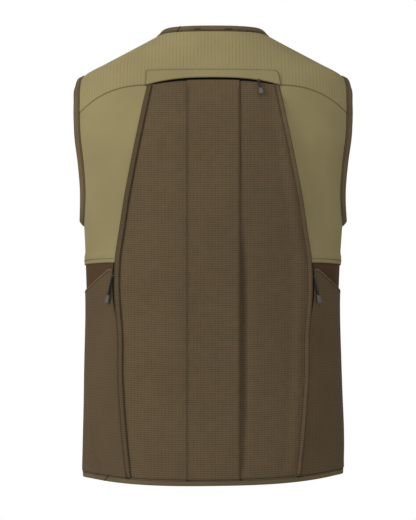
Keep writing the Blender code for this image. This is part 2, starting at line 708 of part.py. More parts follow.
def make_pull(row):
    """The cord loop round the bar and the moulded grip at its end, both about the hinge."""
    point, down, out, bar = pull_frame(row)
    hinge = point + out * (row["plate"] + BAR_ABOVE_PLATE)
    hang = unit(down - bar * math.tan(row["lean"]))
    across = np.cross(hang, out)
    bend = [math.radians(a) for a in (90, 126, 162, 198, 234, 270)]
    loop = [(LOOP_RADIUS * math.cos(a), LOOP_RADIUS * math.sin(a)) for a in bend]
    route = [(row["cord"], LOOP_RADIUS), *loop, (row["cord"], -LOOP_RADIUS)]
    route = np.array([hinge + hang * u + out * v for u, v in route])
    along = unit(np.gradient(route, axis=0))
    along[0], along[-1] = -hang, hang
    beside = np.cross(along, across)
    turns = np.radians(np.arange(6) * 60.0)
    rings = [route + CORD_RADIUS * (across * math.cos(a) + beside * math.sin(a)) for a in turns]
    sweep(f"{row['name']}_pull_cord", np.stack(rings, axis=1), PULL_CORD, place=hinge)
    rings = []
    for share, half, thick in GRIP_SECTIONS:
        middle = hinge + hang * (row["cord"] + CORD_TO_GRIP + share * row["grip"])
        deep = GRIP_THICK / 2 * thick
        rings.append([middle + across * half * w + out * deep * d for w, d in GRIP_CORNERS])
    sweep(f"{row['name']}_pull_grip", np.array(rings), GRIP_PLASTIC, place=hinge)


def make_pulls():
    for values in PULL_ROWS:
        row = dict(zip(PULL_NAMES, values))
        make_slider(row)
        make_pull(row)


def main():
    for leftover in list(bpy.data.objects):
        bpy.data.objects.remove(leftover)
    make_yoke()
    make_flap()
    make_bag()
    make_plackets()
    make_upper_sides()
    make_front_uppers()
    make_lower_sides()
    make_front_lowers()
    make_armhole_bindings()
    make_neck_binding()
    make_hem_binding()
    make_zips()
    make_pulls()


main()
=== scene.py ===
"""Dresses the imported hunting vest: cloth panels with rolled seams, folds and stitches, rib-textured
bindings, zips with their teeth, corded pulls, and a plain pale studio.

Every piece of cloth lies on the vest's body surface, which is named by two numbers: the angle round the
trunk (0 at the middle of the back, 90 degrees at the side, 180 at the middle of the front) and the height."""

import math

import bpy
import numpy as np
from bpy.props import FloatProperty, FloatVectorProperty, PointerProperty
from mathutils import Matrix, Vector


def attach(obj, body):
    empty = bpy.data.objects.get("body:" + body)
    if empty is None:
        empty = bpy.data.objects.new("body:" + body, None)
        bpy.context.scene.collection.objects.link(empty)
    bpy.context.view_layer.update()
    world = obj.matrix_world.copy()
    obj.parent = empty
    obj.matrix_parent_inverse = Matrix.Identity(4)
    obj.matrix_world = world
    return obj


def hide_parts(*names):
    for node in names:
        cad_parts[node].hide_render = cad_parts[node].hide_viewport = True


bl_info = {
    "name": "Hunting Vest",
    "version": (1, 0, 0),
    "blender": (4, 5, 0),
    "location": "View3D > Sidebar > Vest",
    "description": "Cloth, seams, stitches, zips and pulls of a hunting vest around its packed solids",
    "category": "Object",
}

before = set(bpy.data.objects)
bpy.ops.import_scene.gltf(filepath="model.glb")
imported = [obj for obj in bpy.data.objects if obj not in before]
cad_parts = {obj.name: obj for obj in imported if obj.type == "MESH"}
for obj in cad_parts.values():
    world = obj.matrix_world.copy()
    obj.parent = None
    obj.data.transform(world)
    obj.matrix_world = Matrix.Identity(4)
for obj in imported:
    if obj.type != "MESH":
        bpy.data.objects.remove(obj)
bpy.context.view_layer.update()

# The vest's own sizes in metres, its angles in radians
CLOTH = 0.0014
LAYER_GAP = 0.0004
NECK_HALF = 0.0868
NECK_SIDE_Z = -0.0035
NECK_SIDE_FROM = math.radians(50)
NECK_FRONT_DROP = 0.090
SHOULDER_TIP_Z = -0.0635
UNDERARM_Z = -0.300
KHAKI_HEM_Z = -0.3590
HEM_FOLD_Z = -0.3380
HEM_LIFTED_Z = -0.3485
LOWER_TOP_Z = -0.3520
HEM_Z = -0.6820
HEM_TILT = 0.0025
HEM_RISE = 0.009
BACK_POWER = 2.4
FRONT_POWER = 2.2
SECTIONS = np.array(
    (
        (-0.695, 0.2030, 0.138, 0.120),
        (-0.620, 0.2022, 0.134, 0.119),
        (-0.550, 0.2000, 0.130, 0.117),
        (-0.420, 0.1970, 0.128, 0.116),
        (-0.360, 0.1988, 0.131, 0.118),
        (-0.300, 0.2020, 0.135, 0.120),
        (-0.245, 0.2070, 0.135, 0.118),
        (-0.206, 0.2131, 0.133, 0.113),
        (-0.153, 0.2210, 0.126, 0.104),
        (-0.111, 0.2199, 0.115, 0.088),
        (-0.082, 0.2112, 0.105, 0.074),
        (-0.0635, 0.2005, 0.0970, 0.0670),
        (-0.047, 0.1702, 0.0890, 0.0620),
        (-0.030, 0.1382, 0.080, 0.057),
        (-0.012, 0.1044, 0.069, 0.053),
        (0.000, 0.0825, 0.062, 0.050),
    )
)
HALF_WIDTH, BACK_DEPTH, FRONT_DEPTH = 1, 2, 3
ARMHOLE_BACK = 0.062
ARMHOLE_FRONT = 0.072
ARMHOLE_FULLNESS = 0.7
TIP_TURN = math.radians(24)
TIP_SPREAD = math.radians(18)
TIP_PULL = 0.30
YOKE_CORNER_TURN = math.radians(62)
FRONT_SEAM_TURN = math.radians(-38)
BAG_CORNER_X = 0.0995
YOKE_SEAM_Z = -0.0878
YOKE_SEAM_POWER = 2.5
YOKE_SLOT_Z = -0.0725
FRONT_SEAM_AT_NECK = 0.15
BOW_FADE = 3
FLAP_TOP_Z = -0.0636
FLAP_MIDDLE_Z = -0.0773
FLAP_CORNER_Z = -0.0880
BAG_TOP_Z = -0.0804
ARCH_POWER = 2.6
PLEAT_X = 0.0400
PLEAT_OVERLAP = 0.009
PLACKET_WIDTH = 0.0078
BAG_EDGE = np.array(
    (
        (-0.690, 0.1290),
        (-0.635, 0.1350),
        (-0.590, 0.1390),
        (-0.530, 0.1430),
        (-0.470, 0.1435),
        (-0.390, 0.1480),
        (-0.353, 0.1467),
        (-0.303, 0.1394),
        (-0.255, 0.1320),
        (-0.210, 0.1235),
        (-0.130, 0.1076),
        (-0.0878, 0.0995),
    )
)
FOLD_X = 0.0425
FOLD_HALF_WIDTH = 0.0095
FOLD_DEPTH = 0.0068
BAG_DROOP = 0.0042
FOLD_TOP_Z = -0.270
POCKET_TOP_Z = -0.3670
POCKET_CORNER_X = 0.158
POCKET_SLOPE = 0.88
POCKET_LOW_Z = -0.4050
FRONT_PANEL_ANGLE = math.radians(125)
SLIT_WIDTH = 0.0032
SLIT_END_Z = -0.4500
SLIT_TAPER = 0.040
BINDING_OUT = 0.0021
BINDING_IN = 0.0005
NECK_WIDTH = 0.0090
ARM_WIDTH = 0.0125
HEM_WIDTH = 0.0090
ARM_FLARE = 0.75
NECK_FLARE = 3.0
NECK_FLARE_ANGLE = math.radians(30)
NECK_FLARE_FADE = math.radians(60)
FRONT_GAP_HALF = 0.0045
BAR_HALF = 0.0004
BAR_ABOVE_PLATE = 0.0022
LOOP_RADIUS = 0.00148
GRIP_THICK = 0.0046
MIRROR = np.array([-1.0, 1.0])
SIDES = ((1, "right"), (-1, "left"))

# Each zip's pull: its place, the slider's plate over the body, its stem's half width, the plate's half
# length, the foot of its stem over the body, the lengths of cord and grip, and its lean
PULL_COLUMNS = ("x", "z", "plate", "stem", "long", "foot", "cord", "grip", "lean")
PULL_ROWS = {
    "front": (0.0, -0.1000, 0.0034, 0.0019, 0.0019, 0.0012, 0.0160, 0.0125, 0.0),
    "top": (0.0687, -0.0826, 0.0026, 0.0019, 0.0015, 0.0004, 0.0125, 0.0105, 0.13),
    "side_right": (None, -0.3790, 0.0046, 0.0010, 0.0019, 0.0002, 0.0275, 0.0135, 0.30),
    "side_left": (None, -0.3790, 0.0046, 0.0010, 0.0019, 0.0002, 0.0275, 0.0135, -0.30),
}
PULLS = {name: dict(zip(PULL_COLUMNS, row)) for name, row in PULL_ROWS.items()}


def smooth(at, known, values):
    """A cubic curve through known values: on each span the Hermite polynomial whose end slopes are the
    differences of the neighbouring values."""
    slopes = np.gradient(values, known)
    low = np.clip(np.searchsorted(known, at) - 1, 0, len(known) - 2)
    span = known[low + 1] - known[low]
    t = (at - known[low]) / span
    start = (1 + 2 * t) * (1 - t) ** 2 * values[low] + t * (1 - t) ** 2 * span * slopes[low]
    end = t * t * (3 - 2 * t) * values[low + 1] + t * t * (t - 1) * span * slopes[low + 1]
    return start + end


def section(z, column):
    return smooth(z, SECTIONS[:, 0], SECTIONS[:, column])


def bag_edge_x(z):
    return smooth(z, BAG_EDGE[:, 0], BAG_EDGE[:, 1])


def step(value):
    """0 below 0, 1 above 1, and three times its square less twice its cube between."""
    t = np.clip(value, 0, 1)
    return t * t * (3 - 2 * t)


def unit(vectors):
    return vectors / np.linalg.norm(vectors, axis=-1, keepdims=True)


def body(angle, z):
    """Points on the body surface. At each height it is a superellipse: the sine times the half width and the
    cosine times the depth, both over the power's root of the sum of their powers. Below the khaki hem the
    height is tilted by the sine, and rises by its third power less its twelfth."""
    angle, z = np.broadcast_arrays(angle, z)
    sine, cosine = np.sin(angle), np.cos(angle)
    behind = cosine > 0
    power = np.where(behind, BACK_POWER, FRONT_POWER)
    reach = (np.abs(sine) ** power + np.abs(cosine) ** power) ** (-1 / power)
    depth = np.where(behind, section(z, BACK_DEPTH), section(z, FRONT_DEPTH))
    rise = HEM_TILT * sine + HEM_RISE * (np.abs(sine) ** 3 - np.abs(sine) ** 12)
    height = z + rise * step((KHAKI_HEM_Z - z) / (KHAKI_HEM_Z - HEM_Z))
    return np.stack([section(z, HALF_WIDTH) * sine * reach, -depth * cosine * reach, height], axis=-1)


def normals(angle, z):
    """Outward directions: the cross product of the surface's two differences."""
    nudge = 1e-3
    around = body(angle + nudge, z) - body(angle - nudge, z)
    upward = body(angle, z + nudge) - body(angle, z - nudge)
    return unit(np.cross(around, upward))


def back_angle(x, z):
    ratio = np.clip(x / section(z, HALF_WIDTH), 0, 1)
    return np.arctan2(ratio, (1 - ratio**BACK_POWER) ** (1 / BACK_POWER))


def front_angle(x, z):
    ratio = np.clip(x / section(z, HALF_WIDTH), 0, 1)
    return math.pi - np.arctan2(ratio, (1 - ratio**FRONT_POWER) ** (1 / FRONT_POWER))


def line(angle, z):
    """A line on the body surface: one row of angle and height for each point."""
    return np.stack(np.broadcast_arrays(angle, z), axis=-1).astype(float)


def armhole(turn):
    """The armhole's edge, an oval in side view. The turn is 0 at the shoulder tip and 180 degrees at the
    underarm, and less than 0 in front. The height follows its cosine and the reach a power of its sine,
    drawn in behind the shoulder tip by a bell curve of the turn."""
    turn = np.asarray(turn, float)
    middle, half = (SHOULDER_TIP_Z + UNDERARM_Z) / 2, (SHOULDER_TIP_Z - UNDERARM_Z) / 2
    z = middle + half * np.cos(turn)
    behind = turn >= 0
    reach = np.where(behind, ARMHOLE_BACK, ARMHOLE_FRONT) * np.abs(np.sin(turn)) ** ARMHOLE_FULLNESS
    tip = np.where(behind, np.exp(-(((np.abs(turn) - TIP_TURN) / TIP_SPREAD) ** 2)), 0.0)
    reach = reach * (1 - TIP_PULL * tip)
    depth = np.where(behind, section(z, BACK_DEPTH), section(z, FRONT_DEPTH))
    power = np.where(behind, BACK_POWER, FRONT_POWER)
    ratio = reach / depth
    angle = np.arctan2((1 - ratio**power) ** (1 / power), ratio)
    return line(np.where(behind, angle, math.pi - angle), z)


def front_neckline(part):
    """A quarter of an oval from the neck's side on the shoulder, part 0, to the middle of the front, part 1:
    the height falls with the quarter turn's sine, and x follows its cosine."""
    quarter = np.asarray(part, float) * math.pi / 2
    z = NECK_SIDE_Z - (NECK_FRONT_DROP + NECK_SIDE_Z) * np.sin(quarter)
    return line(front_angle(float(section(np.array(NECK_SIDE_Z), HALF_WIDTH)) * np.cos(quarter), z), z)


def arch(x):
    """0 at the middle of the flap's lower edge and 1 at its corners, a power of the distance from the middle."""
    return (np.abs(x) / BAG_CORNER_X) ** ARCH_POWER


def yoke_seam(part):
    """The seam from the flap's corner to the armhole: its fall grows with a power of the part."""
    corner = armhole(YOKE_CORNER_TURN)
    corner_x = body(corner[0], corner[1])[0]
    x = BAG_CORNER_X + (corner_x - BAG_CORNER_X) * part
    z = YOKE_SEAM_Z + (corner[1] - YOKE_SEAM_Z) * part**YOKE_SEAM_POWER
    return line(back_angle(x, z), z)


def patch(s, t, top, bottom, left, right):
    """Fills four lines that meet at their ends. Each row is the straight blend of its two ends, plus the bow
    of the top and bottom lines, which fades with the cube of the distance from them."""
    s, t = s[None, :, None], t[:, None, None]
    across = (1 - s) * left[:, None] + s * right[:, None]
    top_bow = top[None] - (1 - s) * top[0] - s * top[-1]
    bottom_bow = bottom[None] - (1 - s) * bottom[0] - s * bottom[-1]
    return across + (1 - t) ** BOW_FADE * top_bow + t**BOW_FADE * bottom_bow


def keyed(share, values):
    """The values at equal steps of the share, joined by straight lines."""
    return np.interp(share * (len(values) - 1), np.arange(len(values)), values)


RIM = (0.0, 0.0005, 0.0011, 0.0018, 0.0027, 0.0038, 0.0050, 0.0062, 0.0075)


def spread(length, spacing, rim=RIM):
    """Shares from 0 to 1 of a line of that length: close together at both ends, then evenly spaced."""
    near = np.array(rim) / length
    count = max(int((length - 2 * rim[-1]) / spacing), 2)
    return np.concatenate([near[:-1], np.linspace(near[-1], 1 - near[-1], count + 1), 1 - near[-2::-1]])


# Distances over the body surface, as tables that are read between their points
TABLE_ANGLES = np.linspace(0, math.pi, 241)
TABLE_HEIGHTS = np.linspace(-0.700, 0.0, 281)
_points = body(*np.meshgrid(TABLE_ANGLES, TABLE_HEIGHTS))
_around = np.linalg.norm(np.diff(_points, axis=1), axis=-1)
AROUND = np.concatenate([np.zeros((len(TABLE_HEIGHTS), 1)), np.cumsum(_around, axis=1)], axis=1)
_down = np.linalg.norm(np.diff(_points, axis=0), axis=-1)
DOWN = np.concatenate([np.zeros((1, len(TABLE_ANGLES))), np.cumsum(_down, axis=0)], axis=0)


def read(values, angle, z):
    """The table's value at an angle and a height, blended from its four nearest entries."""
    a = np.clip(np.abs(angle) / math.pi * (len(TABLE_ANGLES) - 1), 0, len(TABLE_ANGLES) - 1.001)
    h = (z - TABLE_HEIGHTS[0]) / (TABLE_HEIGHTS[-1] - TABLE_HEIGHTS[0]) * (len(TABLE_HEIGHTS) - 1)
    h = np.clip(h, 0, len(TABLE_HEIGHTS) - 1.001)
    i, j = a.astype(int), h.astype(int)
    s, t = a - i, h - j
    low = values[j, i] * (1 - s) + values[j, i + 1] * s
    return low * (1 - t) + (values[j + 1, i] * (1 - s) + values[j + 1, i + 1] * s) * t


def cloth_uv(angle, z):
    """Metres along the cloth: round the trunk from the middle of the back, and up."""
    return np.stack([np.sign(angle) * read(AROUND, angle, z), read(DOWN, angle, z)], axis=-1)


RIBS_OPEN_FROM = 0.16
RIBS_OPENING = 6


def yoke_uv(angle, z):
    """The yoke's ribs run straight over the shoulder, so the first number is x, opened out near the armhole
    by the square of the distance beyond a place."""
    x = body(angle, z)[..., 0]
    beyond = np.maximum(np.abs(x) - RIBS_OPEN_FROM, 0)
    return np.stack([x + np.sign(x) * RIBS_OPENING * beyond**2, read(DOWN, angle, z)], axis=-1)


# The cloth's slow waves: height, radians for each metre round and down the trunk, and phase
BILLOW_WAVES = (
    (0.00030, 31.0, 9.0, 0.4),
    (0.00026, 17.0, -23.0, 1.9),
    (0.00022, 52.0, 14.0, 3.1),
    (0.00018, 41.0, -37.0, 5.2),
    (0.00012, 90.0, 21.0, 2.2),
)
BILLOW_TOP_Z, BILLOW_TOP_FADE = -0.10, 0.08
BILLOW_LOW_Z, BILLOW_LOW_FADE = -0.675, 0.03


def billow(angle, z):
    """Slow unevenness of the whole surface, in metres: a sum of long sine waves round and down the trunk,
    which fades out at the shoulders and the hem."""
    around, down = np.sign(angle) * read(AROUND, angle, z), z
    total = sum(size * np.sin(a * around + d * down + phase) for size, a, d, phase in BILLOW_WAVES)
    fade = step((BILLOW_TOP_Z - z) / BILLOW_TOP_FADE)
    return total * fade * step((z - BILLOW_LOW_Z) / BILLOW_LOW_FADE)


def set_mesh(mesh, points, faces, uv=None, painted_seam_shade=None):
    mesh.from_pydata(np.asarray(points).reshape(-1, 3).tolist(), [], [list(map(int, f)) for f in faces])
    if uv is not None:
        corners = np.empty(len(mesh.loops), np.int32)
        mesh.loops.foreach_get("vertex_index", corners)
        layer = mesh.uv_layers.new(name="cloth")
        layer.data.foreach_set("uv", np.asarray(uv).reshape(-1, 2)[corners].astype(np.float32).ravel())
    # Painted seam shade: a float on each point, by which the looks darken the colour where shade falls in the seams
    if painted_seam_shade is not None:
        attribute = mesh.attributes.new("painted_seam_shade", "FLOAT", "POINT")
        attribute.data.foreach_set("value", np.asarray(painted_seam_shade, np.float32).ravel())
    mesh.shade_smooth()
    mesh.validate()


def new_piece(name, points, faces, look, replaced=(), uv=None, painted_seam_shade=None, rides="vest"):
    """One mesh object of the vest, at the origin, riding on its body."""
    mesh = bpy.data.meshes.new(name)
    set_mesh(mesh, points, faces, uv, painted_seam_shade)
    mesh.materials.append(look)
    piece = bpy.data.objects.new(name, mesh)
    bpy.context.scene.collection.objects.link(piece)
    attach(piece, rides)
    if replaced:
        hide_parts(*replaced)
    return piece


def grid_faces(rows, columns):
    index = np.arange(rows * columns).reshape(rows, columns)
    return np.stack([index[:-1, :-1], index[:-1, 1:], index[1:, 1:], index[1:, :-1]], axis=-1).reshape(-1, 4)


def wall_faces(rows, columns):
    """Faces of a closed wall between an outer and an inner grid, for an outer grid that runs to the right
    as seen from outside and then down."""
    index = np.arange(rows * columns).reshape(rows, columns)
    top = grid_faces(rows, columns)
    rim = np.concatenate([index[0, :-1], index[:-1, -1], index[-1, :0:-1], index[:0:-1, 0]])
    low = rim + rows * columns
    following, low_following = np.roll(rim, -1), np.roll(low, -1)
    side = np.stack([following, rim, low, low_following], axis=-1)
    return top, top[:, ::-1] + rows * columns, side


def outward(faces, points):
    """The same quads, turned round if the solid that they close has a negative volume."""
    corners = points.reshape(-1, 3)[faces]
    volume = np.linalg.det(corners[:, [0, 1, 2]]).sum() + np.linalg.det(corners[:, [0, 2, 3]]).sum()
    return faces[:, ::-1] if volume < 0 else faces


def travelled(points, axis):
    """Distances along the rows or columns of a grid of points, or along one line of them, from the first."""
    lengths = np.linalg.norm(np.diff(points, axis=axis), axis=-1)
    start = np.zeros_like(np.take(lengths, [0], axis=axis))
    return np.concatenate([start, np.cumsum(lengths, axis=axis)], axis=axis)


# How far an edge rolls down, and over what width, in metres
SEAM = (0.0011, 0.0024)
FOLDED = (0.0006, 0.0014)
CRISP = (0.0005, 0.0007)
TAPERED = (0.0010, 0.0020)
RAW = (0.0, 0.001)
PUCKER_SIZE = 0.00010
PUCKER_REACH = 0.006
PUCKER_PITCH = 0.0085
PUCKER_DRIFT = 3
PUCKER_DRIFT_TURN = 40
# How far from an edge the painted seam shade reaches, in metres
PAINTED_SEAM_SHADE_REACH = 0.0012
THINNEST = 0.0004


def panel(name, grid, look, slot, lift=0.0, thick=CLOTH, relief=0.0, edges=(SEAM,) * 4, uv=cloth_uv):
    """A panel of cloth over a grid of angles and heights. Its outer face lies at the lift plus the thickness,
    plus the relief, less a parabola towards each edge that rolls the cloth into its seam, plus small sine
    puckers along the seams. The inner face follows below it. The edges are top, bottom, left, right. The
    attribute of painted seam shade is 1 along them and falls off as a bell curve; the looks darken the
    colour by it as painted shade in the seams."""
    angle, z = grid[..., 0], grid[..., 1]
    base, away = body(angle, z), normals(angle, z)
    down, across = travelled(base, 0), travelled(base, 1)
    distances = (down, down[-1:] - down, across, across[:, -1:] - across)
    along = (across, across, down, down)
    relief = relief + billow(angle, z)
    outer = lift + thick + relief
    painted_seam_shade = np.zeros_like(angle)
    for (depth, width), distance, way in zip(edges, distances, along):
        if depth:
            near = np.exp(-((distance / PUCKER_REACH) ** 2))
            outer = outer - depth * np.clip(1 - distance / width, 0, 1) ** 2
            drift = PUCKER_DRIFT * np.sin(PUCKER_DRIFT_TURN * way)
            outer = outer + PUCKER_SIZE * near * np.sin(2 * math.pi * way / PUCKER_PITCH + drift)
            painted_seam_shade = np.maximum(painted_seam_shade, np.exp(-((distance / PAINTED_SEAM_SHADE_REACH) ** 2)))
    inner = np.minimum(lift + relief, outer - THINNEST)
    points = np.concatenate([base + away * outer[..., None], base + away * inner[..., None]])
    rows, columns = angle.shape
    faces = outward(np.concatenate(wall_faces(rows, columns)), points)
    mapped = uv(angle, z)
    piece = new_piece(
        f"{name}_cloth",
        points,
        faces,
        look,
        (name,),
        uv=np.concatenate([mapped, mapped]),
        painted_seam_shade=np.concatenate([painted_seam_shade, painted_seam_shade]),
    )
    sides = np.cross(base[1:, :-1] - base[:-1, :-1], base[:-1, 1:] - base[:-1, :-1])
    piece["cut_area"] = float(np.linalg.norm(sides, axis=-1).sum())
    return piece


def on_cloth(route, height):
    """Points at a height over the body surface along a line of angles and heights, and the way out of it."""
    angle, z = route[:, 0], route[:, 1]
    out = normals(angle, z)
    return body(angle, z) + out * (np.asarray(height) + billow(angle, z))[:, None], out


def evenly(points, pitch):
    """Places along a polyline, one to each pitch of its length: the share of its points at each place."""
    length = travelled(points, 0)
    places = np.arange(pitch / 2, length[-1], pitch)
    return np.interp(places, length, np.arange(len(points)))


def at_shares(values, shares):
    low = np.clip(shares.astype(int), 0, len(values) - 2)
    part = (shares - low)[:, None]
    return values[low] * (1 - part) + values[low + 1] * part


def frames_along(points, out, pitch):
    """A frame at each pitch of a line: its middle, the way along, the way out, and the way across."""
    shares = evenly(points, pitch)
    middle, up = at_shares(points, shares), unit(at_shares(out, shares))
    along = at_shares(np.gradient(points, axis=0), shares)
    along = unit(along - up * np.sum(along * up, axis=1, keepdims=True))
    return middle, along, up, np.cross(up, along)


def copies(shape, faces, middle, along, up, across):
    """Copies of a small shape, one in each frame. The shape's three numbers run along, across and out."""
    spots = middle[:, None] + along[:, None] * shape[None, :, :1]
    spots = spots + across[:, None] * shape[None, :, 1:2] + up[:, None] * shape[None, :, 2:]
    shift = (np.arange(len(middle)) * len(shape))[:, None]
    rows = [row for face in faces for row in (np.asarray(face)[None] + shift).tolist()]
    return spots.reshape(-1, 3), rows


def joined(parts):
    """Several lots of points and faces as one."""
    points, faces, count = [], [], 0
    for spots, rows in parts:
        points.append(spots)
        faces += [[corner + count for corner in row] for row in rows]
        count += len(spots)
    return np.concatenate(points), faces


def tube_faces(rings, corners, closed=False):
    """Quads round a row of rings, with a flat cap at each end unless the row is closed."""
    index = np.arange(rings * corners).reshape(rings, corners)
    following = np.roll(index, -1, axis=0) if closed else index[1:]
    here = index if closed else index[:-1]
    quads = np.stack([here, np.roll(here, -1, 1), np.roll(following, -1, 1), following], axis=-1)
    caps = [] if closed else [index[0, ::-1].tolist(), index[-1].tolist()]
    return quads.reshape(-1, 4).tolist() + caps


def rings_on(rows, corners=6):
    """Rings round a shape's own axis. Each row has the place along, the half width, the half height and the
    middle's height: a ring's corners lie on the ellipse of those halves."""
    turns = np.arange(corners) * 2 * math.pi / corners
    rings = [
        np.stack([np.full(corners, place), half * np.cos(turns), middle + high * np.sin(turns)], axis=-1)
        for place, half, high, middle in rows
    ]
    return np.concatenate(rings), tube_faces(len(rows), corners)


def stitch_shape(half_length, half_width):
    """One stitch of thread that dips into the cloth at both ends."""
    rows = (
        (-half_length, 0.4 * half_width, 0.4 * half_width, -1.0 * half_width),
        (-0.55 * half_length, half_width, half_width, 0.35 * half_width),
        (0.55 * half_length, half_width, half_width, 0.35 * half_width),
        (half_length, 0.4 * half_width, 0.4 * half_width, -1.0 * half_width),
    )
    return rings_on(rows, 5)


# Materials


def feed(tree, socket, value):
    """Links a node's output to a socket, or else sets the socket's own value."""
    if isinstance(value, bpy.types.NodeSocket):
        tree.links.new(value, socket)
    else:
        socket.default_value = value


def put(tree, kind, inputs=None, **settings):
    """A node with its settings and its inputs, each a value or another node's output."""
    made = tree.nodes.new(kind)
    for name, value in settings.items():
        setattr(made, name, value)
    for name, value in (inputs or {}).items():
        feed(tree, made.inputs[name], value)
    return made


def maths(tree, operation, *values, clamp=False):
    made = put(tree, "ShaderNodeMath", dict(enumerate(values)), operation=operation, use_clamp=clamp)
    return made.outputs[0]


def ranged(tree, value, low, high, to_low=0.0, to_high=1.0):
    inputs = {"Value": value, "From Min": low, "From Max": high, "To Min": to_low, "To Max": to_high}
    return put(tree, "ShaderNodeMapRange", inputs, interpolation_type="SMOOTHSTEP").outputs["Result"]


def noise(tree, vector, scale, detail=2.0):
    inputs = {"Vector": vector, "Scale": scale, "Detail": detail}
    return put(tree, "ShaderNodeTexNoise", inputs).outputs["Fac"]


def new_group(name, inputs, outputs):
    """An empty node group with named sockets, and its own input and output nodes."""
    tree = bpy.data.node_groups.new(name, "ShaderNodeTree")
    for label, kind, default in inputs:
        socket = tree.interface.new_socket(name=label, in_out="INPUT", socket_type=kind)
        if default is not None:
            socket.default_value = default
    for label, kind in outputs:
        tree.interface.new_socket(name=label, in_out="OUTPUT", socket_type=kind)
    return tree, tree.nodes.new("NodeGroupInput"), tree.nodes.new("NodeGroupOutput")


FLOAT, VECTOR = "NodeSocketFloat", "NodeSocketVector"


def grid_group():
    """Raised threads at one even distance up the cloth, the levels, and another across it, the uprights. Each
    is a smooth hump about the middle of its pitch, and slow noise makes it stronger and weaker."""
    name = "ripstop threads"
    if name in bpy.data.node_groups:
        return bpy.data.node_groups[name]
    inputs = (
        ("Cloth", VECTOR, None),
        ("Level pitch", FLOAT, 0.0033),
        ("Upright pitch", FLOAT, 0.0053),
        ("Uprights", FLOAT, 0.5),
        ("Levels", FLOAT, 1.0),
        ("Thread", FLOAT, 0.45),
    )
    tree, given, result = new_group(name, inputs, (("Threads", FLOAT), ("Height", FLOAT)))
    part = put(tree, "ShaderNodeSeparateXYZ", {"Vector": given.outputs["Cloth"]})
    lines = []
    ways = (("X", "Uprights", "Upright pitch", 55.0), ("Y", "Levels", "Level pitch", 85.0))
    for axis, strength, pitch, scale in ways:
        share = maths(tree, "FRACT", maths(tree, "DIVIDE", part.outputs[axis], given.outputs[pitch]))
        away = maths(tree, "ABSOLUTE", maths(tree, "SUBTRACT", share, 0.5))
        hump = ranged(tree, away, maths(tree, "MULTIPLY", given.outputs["Thread"], 0.5), 0.03)
        wobble = noise(tree, given.outputs["Cloth"], scale)
        varied = ranged(tree, wobble, 0.32, 0.68, 0.5, 1.05)
        lines.append(maths(tree, "MULTIPLY", maths(tree, "MULTIPLY", hump, varied), given.outputs[strength]))
    threads = maths(tree, "MAXIMUM", *lines)
    tree.links.new(threads, result.inputs["Threads"])
    tree.links.new(threads, result.inputs["Height"])
    return tree


def yarn_group():
    """A plain weave: two crossing sine waves of the yarn's pitch, and fine noise for the fibres."""
    name = "yarns"
    if name in bpy.data.node_groups:
        return bpy.data.node_groups[name]
    inputs = (("Cloth", VECTOR, None), ("Pitch", FLOAT, 0.0008))
    tree, given, result = new_group(name, inputs, (("Yarns", FLOAT),))
    part = put(tree, "ShaderNodeSeparateXYZ", {"Vector": given.outputs["Cloth"]})
    waves = []
    for axis in "XY":
        whole_turns = maths(tree, "MULTIPLY", part.outputs[axis], 2 * math.pi)
        waves.append(maths(tree, "SINE", maths(tree, "DIVIDE", whole_turns, given.outputs["Pitch"])))
    fibre = noise(tree, given.outputs["Cloth"], 1400.0)
    weave = maths(tree, "MULTIPLY", *waves)
    total = maths(tree, "ADD", maths(tree, "MULTIPLY", weave, 0.35), fibre)
    tree.links.new(total, result.inputs["Yarns"])
    return tree


def tone_group():
    """Uneven dye: slow noise over the whole piece and faint specks, from 0 to 1."""
    name = "uneven dye"
    if name in bpy.data.node_groups:
        return bpy.data.node_groups[name]
    inputs = (("Place", VECTOR, None), ("Specks", FLOAT, 0.5))
    tree, given, result = new_group(name, inputs, (("Tone", FLOAT),))
    slow = noise(tree, given.outputs["Place"], 14.0, 3.0)
    quick = noise(tree, given.outputs["Place"], 420.0)
    specks = maths(tree, "MULTIPLY", maths(tree, "SUBTRACT", quick, 0.5), given.outputs["Specks"])
    total = maths(tree, "ADD", ranged(tree, slow, 0.25, 0.75), specks)
    tree.links.new(total, result.inputs["Tone"])
    return tree


def use(tree, group, inputs):
    return put(tree, "ShaderNodeGroup", inputs, node_tree=group)


def mix(tree, factor, a, b, blend="MIX"):
    """Two colours mixed by a factor. The node's sockets 0, 6 and 7 are its factor and its two colours."""
    made = put(tree, "ShaderNodeMix", data_type="RGBA", blend_type=blend)
    for number, value in ((0, factor), (6, a), (7, b)):
        feed(tree, made.inputs[number], (*value, 1.0) if isinstance(value, tuple) else value)
    return made.outputs[2]


def scaled(colour, factor):
    return tuple(channel * factor for channel in colour)


def finished(tree, colour, roughness, height, bump, **constants):
    """Feeds a colour, a roughness and a bump's height to the material's own shader."""
    shader = tree.nodes["Principled BSDF"]
    tree.links.new(colour, shader.inputs["Base Color"])
    feed(tree, shader.inputs["Roughness"], roughness)
    raised = put(tree, "ShaderNodeBump", {"Height": height, "Distance": bump, "Strength": 1.0})
    tree.links.new(raised.outputs["Normal"], shader.inputs["Normal"])
    for label, value in constants.items():
        shader.inputs[label.replace("_", " ")].default_value = value


def started(name, colour):
    """A new material, its node tree, its cloth coordinates and its place in the object."""
    made = bpy.data.materials.new(name)
    made.use_nodes = True
    made.diffuse_color = (*colour, 1.0)
    tree = made.node_tree
    cloth = put(tree, "ShaderNodeUVMap", uv_map="cloth").outputs["UV"]
    place = tree.nodes.new("ShaderNodeTexCoord").outputs["Object"]
    return made, tree, cloth, place


# The ripstop's upright threads are this many times as far apart as its level ones
UPRIGHTS_APART = 1.62
BRAID_PITCH = 0.0022
RIB_PITCH = 0.0016
RIB_SLANT = 0.7
TAPE_RIB_PITCH = 0.0009
TAPE_ZIGZAG_PITCH = 0.0011
TAPE_ZIGZAG_SIZE = 0.0003


